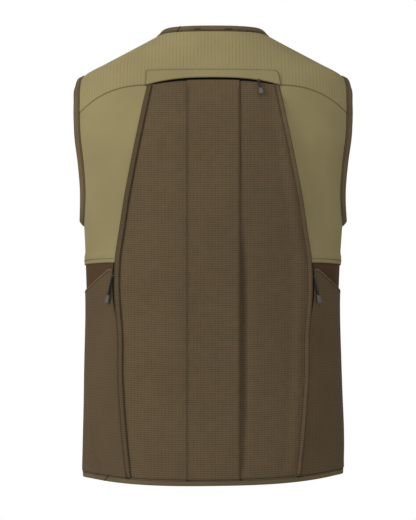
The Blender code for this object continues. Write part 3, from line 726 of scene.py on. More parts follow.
def cloth_look(name, colour, pitch, uprights, levels, contrast, yarn, bump, light=(1, 1, 1), painted_seam_shade=0.6):
    """Woven cloth: the ground colour with raised threads, lighter for a contrast over 0 and darker below it,
    uneven dye and painted shade that darkens the seams. The pitch is that of the level threads."""
    if name in bpy.data.materials:
        return bpy.data.materials[name]
    made, tree, cloth, place = started(name, colour)
    pitches = {"Level pitch": pitch, "Upright pitch": UPRIGHTS_APART * pitch}
    grid = use(tree, grid_group(), {"Cloth": cloth, **pitches, "Uprights": uprights, "Levels": levels})
    yarns = use(tree, yarn_group(), {"Cloth": cloth, "Pitch": yarn})
    tone = use(tree, tone_group(), {"Place": place, "Specks": 0.55})
    raised = tuple(a * b for a, b in zip(scaled(colour, 1 + contrast), light))
    base = mix(tree, grid.outputs["Threads"], scaled(colour, 1 - 0.45 * contrast), raised)
    dyed = mix(tree, tone.outputs["Tone"], (0.95, 0.95, 0.95), (1.05, 1.05, 1.05))
    base = mix(tree, 1.0, base, dyed, "MULTIPLY")
    # Painted shade: along the seams the colour is mixed towards a third of itself, for the shade in the seam grooves
    seam = put(tree, "ShaderNodeAttribute", attribute_name="painted_seam_shade").outputs["Fac"]
    base = mix(tree, maths(tree, "MULTIPLY", seam, painted_seam_shade), base, scaled(colour, 0.35))
    fuzz = maths(tree, "MULTIPLY", yarns.outputs["Yarns"], 0.25)
    height = maths(tree, "ADD", grid.outputs["Height"], fuzz)
    rough = ranged(tree, yarns.outputs["Yarns"], 0.2, 0.9, 0.92, 0.80)
    finished(tree, base, rough, height, bump, Specular_IOR_Level=0.10)
    return made


def binding_look(name, colour):
    """Ribbed tape: level ridges across it at an even pitch, leaning a little, with uneven dye and painted shade along
    its stitch line and its inner edge.
    """
    if name in bpy.data.materials:
        return bpy.data.materials[name]
    made, tree, cloth, place = started(name, colour)
    part = put(tree, "ShaderNodeSeparateXYZ", {"Vector": cloth})
    slanted = maths(tree, "ADD", part.outputs["X"], maths(tree, "MULTIPLY", part.outputs["Y"], RIB_SLANT))
    ridge = maths(tree, "SINE", maths(tree, "MULTIPLY", slanted, 2 * math.pi / RIB_PITCH))
    ridge = maths(tree, "MULTIPLY", maths(tree, "ADD", ridge, 1.0), 0.5)
    tone = use(tree, tone_group(), {"Place": place, "Specks": 0.9})
    base = mix(tree, ridge, scaled(colour, 0.80), scaled(colour, 1.22))
    dyed = mix(tree, tone.outputs["Tone"], (0.88, 0.88, 0.88), (1.12, 1.12, 1.12))
    base = mix(tree, 1.0, base, dyed, "MULTIPLY")
    # Painted shade along the band's stitch line and inner edge, where shade falls
    seam = put(tree, "ShaderNodeAttribute", attribute_name="painted_seam_shade").outputs["Fac"]
    base = mix(tree, maths(tree, "MULTIPLY", seam, 0.6), base, scaled(colour, 0.30))
    finished(tree, base, 0.85, ridge, 0.00018, Specular_IOR_Level=0.12)
    return made


def plain_look(name, colour, roughness, metallic=0.0, wear=0.15, grain=900.0, bump=0.00003, gloss=0.5):
    """Moulded plastic, coated metal or thread: fine grain in tone, roughness and height."""
    if name in bpy.data.materials:
        return bpy.data.materials[name]
    made, tree, _, place = started(name, colour)
    grains = noise(tree, place, grain, 3.0)
    base = mix(tree, grains, scaled(colour, 1 - wear), scaled(colour, 1 + wear))
    rough = ranged(tree, grains, 0.2, 0.8, max(roughness - 0.08, 0.05), min(roughness + 0.08, 1.0))
    finished(tree, base, rough, grains, bump, Metallic=metallic, Specular_IOR_Level=gloss)
    return made


def tape_look(name, colour):
    """Zip tape: a herringbone of fine woven ribs, from the place across and down the tape."""
    if name in bpy.data.materials:
        return bpy.data.materials[name]
    made, tree, _, place = started(name, colour)
    part = put(tree, "ShaderNodeSeparateXYZ", {"Vector": place})
    turns = maths(tree, "MULTIPLY", part.outputs["X"], 2 * math.pi / TAPE_ZIGZAG_PITCH)
    zigzag = maths(tree, "MULTIPLY", maths(tree, "SINE", turns), TAPE_ZIGZAG_SIZE)
    slant = maths(tree, "ADD", part.outputs["Z"], zigzag)
    rib = maths(tree, "SINE", maths(tree, "MULTIPLY", slant, 2 * math.pi / TAPE_RIB_PITCH))
    base = mix(tree, ranged(tree, rib, -1.0, 1.0), scaled(colour, 0.7), scaled(colour, 1.4))
    finished(tree, base, 0.9, rib, 0.0001, Specular_IOR_Level=0.08)
    return made


def cord_look(name, colour):
    """Braided cord: two families of slanting strands from the length along and the share round."""
    if name in bpy.data.materials:
        return bpy.data.materials[name]
    made, tree, cloth, _ = started(name, colour)
    part = put(tree, "ShaderNodeSeparateXYZ", {"Vector": cloth})
    strands = []
    for lean in (1, -1):
        along = maths(tree, "MULTIPLY", part.outputs["X"], 2 * math.pi / BRAID_PITCH)
        round_it = maths(tree, "MULTIPLY", part.outputs["Y"], lean * 4 * math.pi)
        strands.append(maths(tree, "SINE", maths(tree, "ADD", along, round_it)))
    braid = ranged(tree, maths(tree, "MAXIMUM", *strands), -0.2, 1.0)
    base = mix(tree, braid, scaled(colour, 0.55), scaled(colour, 1.2))
    finished(tree, base, 0.85, braid, 0.00012, Specular_IOR_Level=0.15)
    return made


# Looks, by the record's material slots


def looks():
    """The vest's finishes, from the colours that the panel offers."""
    colours = bpy.context.scene.vest_colours
    weave = bpy.context.scene.vest_sizes.thread_pitch
    khaki, brown = tuple(colours.khaki), tuple(colours.brown)
    return {
        "khaki_ripstop": cloth_look(
            "khaki ribbed ripstop", khaki, weave, 1.0, 0.2, -0.11, 0.0008, 0.00010, light=(1.0, 0.99, 0.96)
        ),
        "khaki_stretch": cloth_look("khaki stretch twill", khaki, weave, 0.0, 0.0, 0.05, 0.0009, 0.00008),
        "brown_ripstop": cloth_look(
            "brown ripstop", brown, weave, 0.45, 1.0, -0.38, 0.0008, 0.00014, light=(0.98, 1.0, 0.96)
        ),
        "brown_twill": cloth_look(
            "brown twill", scaled(brown, 0.90), 1.28 * weave, 0.4, 0.8, -0.17, 0.0008, 0.00008, light=(1.0, 1.0, 0.96)
        ),
        # One cloth for both folded strips of the bag, in a lit and a shaded copy: painted highlight on the right
        # strip and painted shade on the left one, as the key light falls from the left
        "brown_bias_right": cloth_look(
            "brown folded strip, right", scaled(brown, 1.04), weave, 0.1, 1.0, -0.36, 0.0008, 0.00014
        ),
        "brown_bias_left": cloth_look(
            "brown folded strip, left", scaled(brown, 0.88), weave, 0.1, 1.0, -0.30, 0.0008, 0.00014
        ),
        # The backing's brown is partly its own colour and partly painted shade inside the pocket mouths, which makes
        # it darker than the cloth alone
        "brown_smooth": cloth_look(
            "brown backing", tuple(colours.backing), weave, 0.0, 0.2, -0.08, 0.0007, 0.00005
        ),
        "binding": binding_look("ribbed binding", tuple(colours.binding)),
        "piping": plain_look("piped lip", scaled(tuple(colours.binding), 0.95), 0.85, wear=0.25, grain=900.0),
        "zip_tape": tape_look("zip tape", (0.012, 0.010, 0.008)),
        "zip_teeth": plain_look("zip coil", (0.012, 0.010, 0.008), 0.85, wear=0.25, grain=700.0, gloss=0.06),
        "slider_metal": plain_look("coated zinc", (0.060, 0.058, 0.055), 0.40, 0.9, wear=0.25, grain=1200.0),
        "pull_cord": cord_look("braided cord", tuple(colours.cord)),
        "grip_plastic": plain_look("moulded grip", tuple(colours.grip), 0.48, wear=0.10, grain=1500.0),
        **{
            f"{word}_thread": plain_look(f"{word} thread", scaled(*tone), 0.85, wear=0.3, grain=2500.0, gloss=0.2)
            for word, tone in (("khaki", (khaki, 0.36)), ("dark", (brown, 0.22)), ("brown", (brown, 0.42)))
        },
    }


def furrow_line(x, z, start, end, width, depth):
    """A furrow along a straight line in back view, or a ridge for a depth under 0: a bell curve of the
    distance to the line."""
    start, end = np.array(start), np.array(end)
    way = end - start
    spot = np.stack([x, z], axis=-1) - start
    share = np.clip(spot @ way / (way @ way), 0, 1)
    distance = np.linalg.norm(spot - share[..., None] * way, axis=-1)
    return -depth * np.exp(-((distance / width) ** 2))


STRIP_SHARE = 0.35
NARROWEST = 0.0102


def declare(uv, area):
    """Works out the cut of a panel: its reach round and down the cloth and its flat area, and for a narrow
    slanting strip a straight width, as wide as its area needs. It stores and returns nothing."""
    width, length = float(np.ptp(uv[..., 0])), float(np.ptp(uv[..., 1]))
    if area < STRIP_SHARE * width * length:
        width = max(area / length, NARROWEST)


def both(name, grid, look, slot, held, rests_on, relief=None, **settings):
    """The same panel on both sides. The relief is a function of x, z and the side, 1 right and -1 left. The
    look is one for both, or one for each side."""
    uv = settings.get("uv", cloth_uv)
    for side, word in SIDES:
        own = look[side] if isinstance(look, dict) else look
        turned = grid * np.array([side, 1.0])
        lowered = 0.0
        if relief is not None:
            points = body(turned[..., 0], turned[..., 1])
            lowered = relief(points[..., 0], points[..., 2], side)
        piece = panel(f"{name}_{word}", turned, own, slot, relief=lowered, **settings)
        declare(uv(turned[..., 0], turned[..., 1]), piece["cut_area"])


def fine():
    return bpy.context.scene.vest_sizes.mesh_spacing


# The yoke and its flap

SLOT_STEPS, SEAM_STEPS, BACK_STEPS, FRONT_STEPS = 6, 8, 6, 4
RIDGE = SLOT_STEPS + SEAM_STEPS + BACK_STEPS


def yoke_lines(at):
    """The yoke's inner and outer lines on one side, at numbers from 0, the middle of the back, over the
    shoulder tip to the front seam. The outer line joins the slot, the yoke seam and the armhole. The inner
    one is the neck's, which falls by a step from the back to its side."""
    slot_x = np.linspace(0, BAG_CORNER_X, SLOT_STEPS + 1)
    slot_z = np.full(SLOT_STEPS + 1, YOKE_SLOT_Z)
    slot_z[-1] = YOKE_SEAM_Z
    x, z = (np.interp(at, np.arange(SLOT_STEPS + 1), row) for row in (slot_x, slot_z))
    slot = line(back_angle(x, z), z)
    seam = yoke_seam(np.clip((at - SLOT_STEPS) / SEAM_STEPS, 0, 1))
    back = armhole(YOKE_CORNER_TURN * (1 - np.clip((at - SLOT_STEPS - SEAM_STEPS) / BACK_STEPS, 0, 1)))
    over = armhole(FRONT_SEAM_TURN * np.clip((at - RIDGE) / FRONT_STEPS, 1e-9, 1))
    at = at[:, None]
    beyond_seam = np.where(at < RIDGE, back, over)
    outer = np.where(at < SLOT_STEPS, slot, np.where(at < SLOT_STEPS + SEAM_STEPS, seam, beyond_seam))
    turn = np.clip(at[:, 0] / RIDGE, 0, 1) * math.pi / 2
    neck = line(turn, NECK_SIDE_Z * step((turn - NECK_SIDE_FROM) / (math.pi / 2 - NECK_SIDE_FROM)))
    front = front_neckline(FRONT_SEAM_AT_NECK * np.clip((at[:, 0] - RIDGE) / FRONT_STEPS, 0, 1) ** 2)
    return np.where(at < RIDGE, neck, front), outer


def both_halves(half):
    return np.concatenate([half[:0:-1] * MIRROR, half])


YOKE_HALF_LENGTH = 0.30
YOKE_DEPTH = 0.085


def make_yoke():
    ends = 1 - np.array(RIM[::-1]) / YOKE_HALF_LENGTH
    at = (RIDGE + FRONT_STEPS) * np.concatenate([np.linspace(0, 0.97, 150), ends])
    inner, outer = (both_halves(row) for row in yoke_lines(at))
    part = spread(YOKE_DEPTH, fine() * 0.6)[:, None, None]
    grid = inner[None] * (1 - part) + outer[None] * part
    piece = panel("yoke", grid, looks()["khaki_ripstop"], "khaki_ripstop", uv=yoke_uv)
    declare(yoke_uv(grid[..., 0], grid[..., 1]), piece["cut_area"])


FLAP_LIFT = CLOTH + LAYER_GAP + 0.0001
FLAP_THICK = 0.0016
FLAP_LEFT_X = (0.1020, 0.1032)
FLAP_RIGHT_X = (0.0930, 0.0992, 0.1010, 0.1020, 0.1028)
FLAP_STITCH_INSET = 0.0014


def flap_line(share, part):
    """Points of the flap at a share of its width and a part of its height. Its right end slants in above."""
    low, high = -keyed(part, np.array(FLAP_LEFT_X)), keyed(part, np.array(FLAP_RIGHT_X))
    x = low + (high - low) * share
    bottom = FLAP_MIDDLE_Z + (FLAP_CORNER_Z - FLAP_MIDDLE_Z) * arch(x)
    z = FLAP_TOP_Z + (bottom - FLAP_TOP_Z) * part
    return line(np.sign(x) * back_angle(np.abs(x), z), z)


def make_flap():
    share, part = spread(0.20, fine())[None], spread(0.017, 0.0012, RIM[:7])[:, None]
    grid = flap_line(share, part)
    edges = (TAPERED, FOLDED, TAPERED, TAPERED)
    look, slot = looks()["khaki_stretch"], "khaki_stretch"
    piece = panel("yoke_flap", grid, look, slot, FLAP_LIFT, FLAP_THICK, edges=edges)
    declare(cloth_uv(grid[..., 0], grid[..., 1]), piece["cut_area"])


# The game bag

BAG_LIFT = CLOTH + LAYER_GAP
PLACKET_THICK = 0.0011
PLACKET_RISE = 0.0026


def bag_grid(columns, parts, left_x, right_x):
    """Rows from the arched top down to the hem, between two upright lines: each an x or, where None, the
    bag's edge. The angle runs evenly from one to the other."""

    def across(x, z):
        return back_angle(bag_edge_x(z), z) if x is None else np.sign(x) * back_angle(abs(x), z)

    def top(x):
        return BAG_TOP_Z + (YOKE_SEAM_Z - BAG_TOP_Z) * (1.0 if x is None else float(arch(x)))

    left_z, right_z = (top(x) + (HEM_Z - top(x)) * parts for x in (left_x, right_x))
    left, right = line(across(left_x, left_z), left_z), line(across(right_x, right_z), right_z)
    columns = columns[None, :, None]
    grid = left[:, None] * (1 - columns) + right[:, None] * columns
    x = np.minimum(np.abs(body(grid[0, :, 0], grid[0, :, 1])[:, 0]), BAG_CORNER_X)
    drop = BAG_TOP_Z + (YOKE_SEAM_Z - BAG_TOP_Z) * arch(x) - grid[0, :, 1]
    grid[..., 1] += drop * np.clip(1 - parts[:, None] / 0.12, 0, 1) ** 2
    return grid


# Furrows of the bag's side panels: where they lie and how wide and deep they are
STRIP_FURROW_INSIDE, STRIP_FURROW_WIDTH, STRIP_FURROW_DEPTH = 0.0095, 0.0022, 0.0009
LEFT_FURROW_EXTRA = 0.0006
STRIP_FURROW_SHARES = {1: 0.4, -1: 0.6}
PLEAT_FURROW_BEYOND, PLEAT_FURROW_WIDTH = 0.0007, 0.0010
PLEAT_FURROW_DEPTHS = {1: 0.0022, -1: 0.0006}
FOLD_EASE = 0.55
DROOP_END, DROOP_RETURN = 0.90, 0.18


def bag_relief(x, z, side):
    """Furrows of the side panels, each a bell curve: beside the stitched-down strip, a narrow one along the
    middle panel, and the right one's deep soft fold there, which opens below the shoulder blades and closes
    towards the hem. The right panel droops with the share of its width, and comes back beside its strip."""
    strip = np.exp(-(((np.abs(x) - bag_edge_x(z) + STRIP_FURROW_INSIDE) / STRIP_FURROW_WIDTH) ** 2))
    depth = STRIP_FURROW_DEPTH * step((-0.10 - z) / 0.05)
    gap = np.exp(-(((np.abs(x) - PLEAT_X - PLEAT_FURROW_BEYOND) / PLEAT_FURROW_WIDTH) ** 2))
    above_hem = step((z - HEM_Z - 0.002) / 0.030)
    if side < 0:
        depth = depth + LEFT_FURROW_EXTRA * step((-0.26 - z) / 0.08)
    lowered = STRIP_FURROW_SHARES[side] * depth * strip + PLEAT_FURROW_DEPTHS[side] * gap
    if side > 0:
        fold = np.exp(-(((x - FOLD_X) / FOLD_HALF_WIDTH) ** 2)) * step((FOLD_TOP_Z - z) / 0.14)
        fold = fold * (1 - FOLD_EASE * step((-0.54 - z) / 0.12))
        share = np.clip((x - PLEAT_X) / (bag_edge_x(z) - PLEAT_X), 0, 1)
        droop = share * step((DROOP_END - share) / DROOP_RETURN) * step((-0.094 - z) / 0.045)
        lowered = lowered + FOLD_DEPTH * fold + BAG_DROOP * droop
    return -lowered * above_hem


def make_bag():
    look, slot = looks()["brown_ripstop"], "brown_ripstop"
    parts = spread(0.60, fine())
    grid = bag_grid(spread(0.10, fine()), parts, PLEAT_X - PLEAT_OVERLAP, None)
    both("bag", grid, look, slot, "hung", ["yoke_cloth"], bag_relief, edges=(SEAM, SEAM, RAW, FOLDED))
    grid = bag_grid(spread(2 * PLEAT_X, fine()), parts, -PLEAT_X, PLEAT_X)
    piece = panel("bag_centre", grid, look, slot, BAG_LIFT, edges=(SEAM, SEAM, CRISP, CRISP))
    declare(cloth_uv(grid[..., 0], grid[..., 1]), piece["cut_area"])


def placket_line(z, inside):
    """A line down the bag's folded edge, at a distance inside it."""
    return line(back_angle(bag_edge_x(z) - inside, z), z)


PLACKET_DIP = 0.0009
PLACKET_DIP_SHARE = 0.12


def placket_relief(x, z, side):
    """The strip stands up towards the bag's edge, by a power of the share of its width, and dips at its inner
    edge by a bell curve. It lies flat at the yoke and at the hem."""
    share = np.clip(1 - (bag_edge_x(z) - np.abs(x)) / PLACKET_WIDTH, 0, 1)
    rise = PLACKET_RISE * share**1.2 - PLACKET_DIP * np.exp(-((share / PLACKET_DIP_SHARE) ** 2))
    return rise * step((YOKE_SEAM_Z - 0.006 - z) / 0.03) * step((z - HEM_Z + 0.001) / 0.012)


# The strip's mesh lines: their distances inside the bag's edge
PLACKET_COLUMNS = (
    PLACKET_WIDTH, 0.0070, 0.0062, 0.0054, 0.0044, 0.0032, 0.0022, 0.0015, 0.0008, 0.0004, -0.0002
)


def make_plackets():
    z = YOKE_SEAM_Z + (HEM_Z - YOKE_SEAM_Z) * spread(0.60, fine())[:, None]
    grid = placket_line(z, np.array(PLACKET_COLUMNS))
    # Each side's strip takes its own copy of the brown: painted highlight on the right, painted shade on the left
    look = {side: looks()[f"brown_bias_{word}"] for side, word in SIDES}
    both(
        "bag_placket", grid, look, "brown_ripstop", "laid", ["bag_left_cloth", "bag_right_cloth"],
        placket_relief, lift=BAG_LIFT, thick=PLACKET_THICK, edges=(SEAM, SEAM, (0.0010, 0.0016), FOLDED),
    )


# Side panels, fronts and pockets

UPPER_KEYS = np.concatenate([np.linspace(YOKE_SEAM_Z, HEM_FOLD_Z, 13), [HEM_LIFTED_Z, KHAKI_HEM_Z]])
SIDE_KEYS = np.array([UNDERARM_Z, (UNDERARM_Z + HEM_FOLD_Z) / 2, HEM_FOLD_Z, HEM_LIFTED_Z, KHAKI_HEM_Z])
HEM_SLANT_TOP = -0.310
HEM_SLANT_ANGLES = np.radians([50, 90, 180])
HEM_SLANT_RISES = (0.0020, -0.0026, 0.0)


def hem_lift(grid):
    """The khaki hem rises over the brown cloth's edge."""
    return (CLOTH + LAYER_GAP) * step((HEM_FOLD_Z - grid[..., 1]) / (HEM_FOLD_Z - HEM_LIFTED_Z))


def hem_slant(angle, z):
    """How much the khaki hem rises beside the bag and falls at the side seam, fading out above it."""
    rise = np.interp(np.abs(angle), HEM_SLANT_ANGLES, HEM_SLANT_RISES)
    return rise * step((HEM_SLANT_TOP - z) / (HEM_SLANT_TOP - HEM_LIFTED_Z))


def seam_below(parts, start_turn, end_turn, steps):
    """The armhole and then the side seam down to the khaki hem, at parts of the way in even steps."""
    at = parts * (steps + len(SIDE_KEYS) - 1)
    hole = armhole(start_turn + (end_turn - start_turn) * np.clip(at / steps, 0, 1))
    side = line(math.pi / 2, np.interp(at - steps, np.arange(len(SIDE_KEYS)), SIDE_KEYS))
    return np.where(at[:, None] <= steps, hole, side)


# The khaki side panel's drape: its height over the body at shares of the way out from the bag
DRAPE_SHARES = np.array([-0.2, 0.0, 0.2, 0.5, 0.82, 1.0, 1.2])
DRAPE_HEIGHTS = np.array([0.0, -0.0001, -0.0034, -0.0010, 0.0038, 0.0, 0.0])
DRAPE_ON_LEFT = 0.15
YOKE_CORNER = body(*armhole(YOKE_CORNER_TURN))
_edge = armhole(np.linspace(math.pi, 0, 120))
_edge_x = body(_edge[:, 0], _edge[:, 1])[:, 0]


def side_edge_x(z):
    """How far out the khaki side panel reaches: to the armhole's edge, and below that to the side seam."""
    return np.where(z > UNDERARM_Z, np.interp(z, _edge[:, 1], _edge_x), section(z, HALF_WIDTH))


def upper_relief(x, z, side):
    """The khaki side panels' drape: a smooth curve through the known heights at shares of the width, whole on
    the right and slight on the left, which fades out below the yoke's seam and above the khaki hem."""
    x = np.abs(x)
    share = (x - bag_edge_x(z)) / (side_edge_x(z) - bag_edge_x(z))
    fall = np.clip((x - BAG_CORNER_X) / (YOKE_CORNER[0] - BAG_CORNER_X), 0, 1) ** YOKE_SEAM_POWER
    seam_z = YOKE_SEAM_Z + (YOKE_CORNER[2] - YOKE_SEAM_Z) * fall
    fade = step((seam_z - z) / 0.07) * step((z + 0.352) / 0.07)
    drape = smooth(np.clip(share, DRAPE_SHARES[0], DRAPE_SHARES[-1]), DRAPE_SHARES, DRAPE_HEIGHTS)
    return fade * drape * (1.0 if side > 0 else DRAPE_ON_LEFT)


def make_upper_sides():
    s, t = spread(0.10, fine()), spread(0.28, fine())
    at = t * (len(UPPER_KEYS) - 1)
    left_z = np.interp(at, np.arange(len(UPPER_KEYS)), UPPER_KEYS)
    left = line(back_angle(bag_edge_x(left_z), left_z), left_z)
    right = seam_below(t, YOKE_CORNER_TURN, math.pi, 10)
    bottom = line(left[-1, 0] + (math.pi / 2 - left[-1, 0]) * s, KHAKI_HEM_Z)
    grid = patch(s, t, yoke_seam(s), bottom, left, right)
    lift = hem_lift(grid)
    grid[..., 1] += hem_slant(grid[..., 0], grid[..., 1])
    both(
        "upper_side", grid, looks()["khaki_stretch"], "khaki_stretch", "hung", ["yoke_cloth"], upper_relief,
        lift=lift, edges=(SEAM, FOLDED, FOLDED, FOLDED),
    )


def front_edge(z):
    return front_angle(FRONT_GAP_HALF, z)


# The part of the front neckline at which it meets the front edge
NECK_END = math.acos(FRONT_GAP_HALF / NECK_HALF) / (math.pi / 2)


def make_front_uppers():
    s, t = spread(0.19, fine()), spread(0.30, fine())
    inner, outer = (row[-1] for row in yoke_lines(np.array([0.0, float(RIDGE + FRONT_STEPS)])))
    at = s * 14
    seam = outer + (inner - outer) * np.clip(at / 6, 0, 1)[:, None]
    neck = front_neckline(FRONT_SEAM_AT_NECK + (NECK_END - FRONT_SEAM_AT_NECK) * np.clip((at - 6) / 8, 0, 1))
    top = np.where(at[:, None] <= 6, seam, neck)
    left = seam_below(t, FRONT_SEAM_TURN, -math.pi, 11)
    keys = np.concatenate([np.linspace(neck[-1, 1], HEM_FOLD_Z, 14), [HEM_LIFTED_Z, KHAKI_HEM_Z]])
    z = keyed(t, keys)
    right = line(front_edge(z), z)
    bottom = line(math.pi / 2 + (right[-1, 0] - math.pi / 2) * s, KHAKI_HEM_Z)
    grid = patch(s, t, top, bottom, left, right)
    lift = hem_lift(grid)
    grid[..., 1] += hem_slant(grid[..., 0], grid[..., 1])
    both(
        "front_upper", grid, looks()["khaki_stretch"], "khaki_stretch", "hung", ["yoke_cloth"],
        lift=lift, edges=(SEAM, FOLDED, FOLDED, FOLDED),
    )


def slit_angle(z):
    """Where the lower side starts, beside the bag's edge or beyond the zip's slit."""
    return back_angle(bag_edge_x(z) + SLIT_WIDTH * step((z - SLIT_END_Z) / SLIT_TAPER), z)


def pocket_mouth(angle, z):
    """The pocket's top: level beside the bag, then falling to the side seam, then level round to the front."""
    x = np.where(angle < math.pi / 2, body(angle, z)[..., 0], 1.0)
    return np.maximum(POCKET_TOP_Z - POCKET_SLOPE * np.maximum(x - POCKET_CORNER_X, 0), POCKET_LOW_Z)


def side_grid(top, columns, parts):
    """Columns from the slit round to the front panel, from the height top(angle) down to the hem."""
    start = np.full(len(columns), LOWER_TOP_Z)
    for _ in range(12):
        start = top(slit_angle(start) * (1 - columns) + FRONT_PANEL_ANGLE * columns, start)
    z = start + (HEM_Z - start) * parts[:, None]
    return line(slit_angle(z) * (1 - columns) + FRONT_PANEL_ANGLE * columns, z)


# Wrinkles above the hem at the left, in back view: start, end, width, and depth, under 0 for a ridge
WRINKLES = (
    ((-0.1822, -0.6500), (-0.1695, -0.6760), 0.0034, 0.0018),
    ((-0.1880, -0.6500), (-0.1753, -0.6760), 0.0034, -0.0026),
    ((-0.1965, -0.6570), (-0.1830, -0.6760), 0.0032, 0.0018),
    ((-0.1700, -0.6560), (-0.1600, -0.6760), 0.0034, -0.0016),
    ((-0.1560, -0.6650), (-0.1500, -0.6775), 0.0030, 0.0016),
)


def pocket_relief(x, z, side):
    """The pocket stands off the cloth below its mouth by a step each way, and the left one wrinkles above
    the hem."""
    swell = 0.0004 * step((np.abs(x) - 0.150) / 0.03) * step((z + 0.60) / 0.15)
    return swell + sum(furrow_line(x, z, *row) for row in WRINKLES) if side < 0 else swell


BACKING_DEPTHS = {1: 0.0080, -1: 0.0008}
BACKING_LOW_Z = -0.400
BACKING_REACH = 0.026


def backing_relief(x, z, side):
    """The backing sinks into the pocket by a bell curve of the height, more on the right, between the bag and
    the side seam."""
    between = step((np.abs(x) - 0.15) / 0.02) * step((0.196 - np.abs(x)) / 0.018)
    return -BACKING_DEPTHS[side] * np.exp(-(((z - BACKING_LOW_Z) / BACKING_REACH) ** 2)) * between


POCKET_LIFT = CLOTH + 1.5 * LAYER_GAP


def make_lower_sides():
    columns = spread(0.17, fine())
    grid = side_grid(lambda angle, z: np.full_like(z, LOWER_TOP_Z), columns, spread(0.33, fine()))
    both(
        "lower_side", grid, looks()["brown_smooth"], "brown_smooth", "hung",
        ["upper_side_left_cloth", "upper_side_right_cloth"], backing_relief, edges=(RAW, SEAM, FOLDED, SEAM),
    )
    grid = side_grid(pocket_mouth, columns, spread(0.30, fine()))
    both(
        "pocket", grid, looks()["brown_twill"], "brown_ripstop", "laid",
        ["lower_side_left_cloth", "lower_side_right_cloth"], pocket_relief,
        lift=POCKET_LIFT, edges=(FOLDED, SEAM, FOLDED, SEAM),
    )


PIPING_RADIUS = 0.0012


def make_pipings():
    """A thin folded lip along each pocket's mouth: a round tube swept along the edge."""
    parts = []
    for side in (1, -1):
        mouth = side_grid(pocket_mouth, np.linspace(0.004, 0.996, 160), np.array([0.0015]))[0] * [side, 1]
        points, _ = on_cloth(mouth, np.full(160, POCKET_LIFT + 0.6 * CLOTH))
        rings = swept(points, PIPING_RADIUS, 8)
        parts.append((rings.reshape(-1, 3), tube_faces(*rings.shape[:2])))
    points, faces = joined(parts)
    new_piece("pocket_mouth_pipings", points, faces, looks()["piping"])


def make_front_lowers():
    z = LOWER_TOP_Z + (HEM_Z - LOWER_TOP_Z) * spread(0.33, fine())[:, None]
    grid = line(FRONT_PANEL_ANGLE + (front_edge(z) - FRONT_PANEL_ANGLE) * spread(0.14, fine()), z)
    both(
        "front_lower", grid, looks()["brown_ripstop"], "brown_ripstop", "hung",
        ["front_upper_left_cloth", "front_upper_right_cloth"], edges=(RAW, SEAM, SEAM, FOLDED),
    )


# Bindings

# The band's section: shares of its width and of its thickness, outside and then back along the inside
BAND_OUTER = np.array(
    [
        [0, 0.40], [0.02, 0.66], [0.06, 0.85], [0.12, 0.93], [0.17, 0.90], [0.22, 0.95], [0.34, 1.0],
        [0.5, 1.0], [0.7, 0.97], [0.84, 0.90], [0.93, 0.76], [0.98, 0.55], [1.0, 0.3],
    ]
)
BAND_INNER = np.array(
    [[0.99, -0.3], [0.95, -0.8], [0.85, -1.0], [0.6, -1.0], [0.3, -1.0], [0.05, -1.0], [0.0, -0.5]]
)
BAND_STITCH = 0.17
# A tack's pitch, half length and half width
TACK = (0.0009, 0.0007, 0.0006)
NECK_TACKS = ((-0.0289, -0.0195), (0.0182, 0.0290))
NECK_JOIN = (-0.0545, -0.0505)
HEM_JOIN = (-0.1570, -0.1640)
ARM_MIDDLE_Z = -0.18
HEM_TACKS = ((-0.1310, -0.1250), (-0.0400, -0.0370), (0.0390, 0.0430), (0.1260, 0.1330))


def band_frames(edge, towards, lean, closed):
    """Along an edge: its points, the way out of the cloth, the way the band leaves it and the band's own way
    out, square to that."""
    points, away = body(edge[:, 0], edge[:, 1]), normals(edge[:, 0], edge[:, 1])
    points = points + away * billow(edge[:, 0], edge[:, 1])[:, None]
    ahead = np.roll(points, -1, axis=0) - np.roll(points, 1, axis=0) if closed else np.gradient(points, axis=0)
    across = unit(np.cross(away, unit(ahead)))
    across *= np.sign(np.sum(across * (towards - points), axis=-1, keepdims=True))
    leaving = unit(across + lean)
    outward_way = unit(away - leaving * np.sum(away * leaving, axis=-1, keepdims=True))
    return points - across * 0.0002, away, leaving, outward_way


def make_band(name, edge, width, towards, lean, closed=False):
    """A folded strip along an edge. The outline of its section is carried along the edge, and small sine
    ripples thicken and thin it. It returns the frames from which the band's row of stitches is placed."""
    root, away, leaving, outward_way = band_frames(edge, towards, lean, closed)
    length = travelled(root, 0)
    ripple = 1 + 0.05 * np.sin(2 * math.pi * length / 0.011 + 2 * np.sin(length * 31)) * np.sin(length * 17)
    outline = np.concatenate([BAND_OUTER * [1, BINDING_OUT], BAND_INNER * [1, BINDING_IN]])
    turn = step(outline[:, 0] / 0.3)[None, :, None]
    lifted = away[:, None] * (1 - turn) + outward_way[:, None] * turn
    high = outline[None, :, 1:] * ripple[:, None, None]
    rings = root[:, None] + leaving[:, None] * outline[None, :, :1] * width + lifted * high
    faces = tube_faces(len(edge), len(outline), closed)
    if sum(np.linalg.det(rings.reshape(-1, 3)[face[:3]]) for face in faces[: 40 * len(outline) : 7]) < 0:
        faces = [face[::-1] for face in faces]
    round_it = travelled(outline * [width, 1], 0)
    mapped = np.stack(np.broadcast_arrays(length[:, None], round_it[None]), axis=-1)
    # Painted shade: strongest at the band's root against the cloth, and a bell curve about its stitch line
    painted_seam_shade = np.broadcast_to(
        np.exp(-(((outline[:, 0] - BAND_STITCH) / 0.05) ** 2)) * 0.7 + (outline[:, 0] < 0.03), rings.shape[:2]
    )
    painted_seam_shade = np.clip(painted_seam_shade, 0, 1)
    look, slot = looks()["binding"], "binding"
    piece = new_piece(f"{name}_tape", rings, faces, look, (name,), uv=mapped, painted_seam_shade=painted_seam_shade)
    return root, away, leaving * width, outward_way * BINDING_OUT


def seam_row(band):
    """The row of stitches near a band's inner edge."""
    root, away, leaving, lift = band
    return root + leaving * BAND_STITCH + away * BINDING_OUT * 0.95, unit(lift)


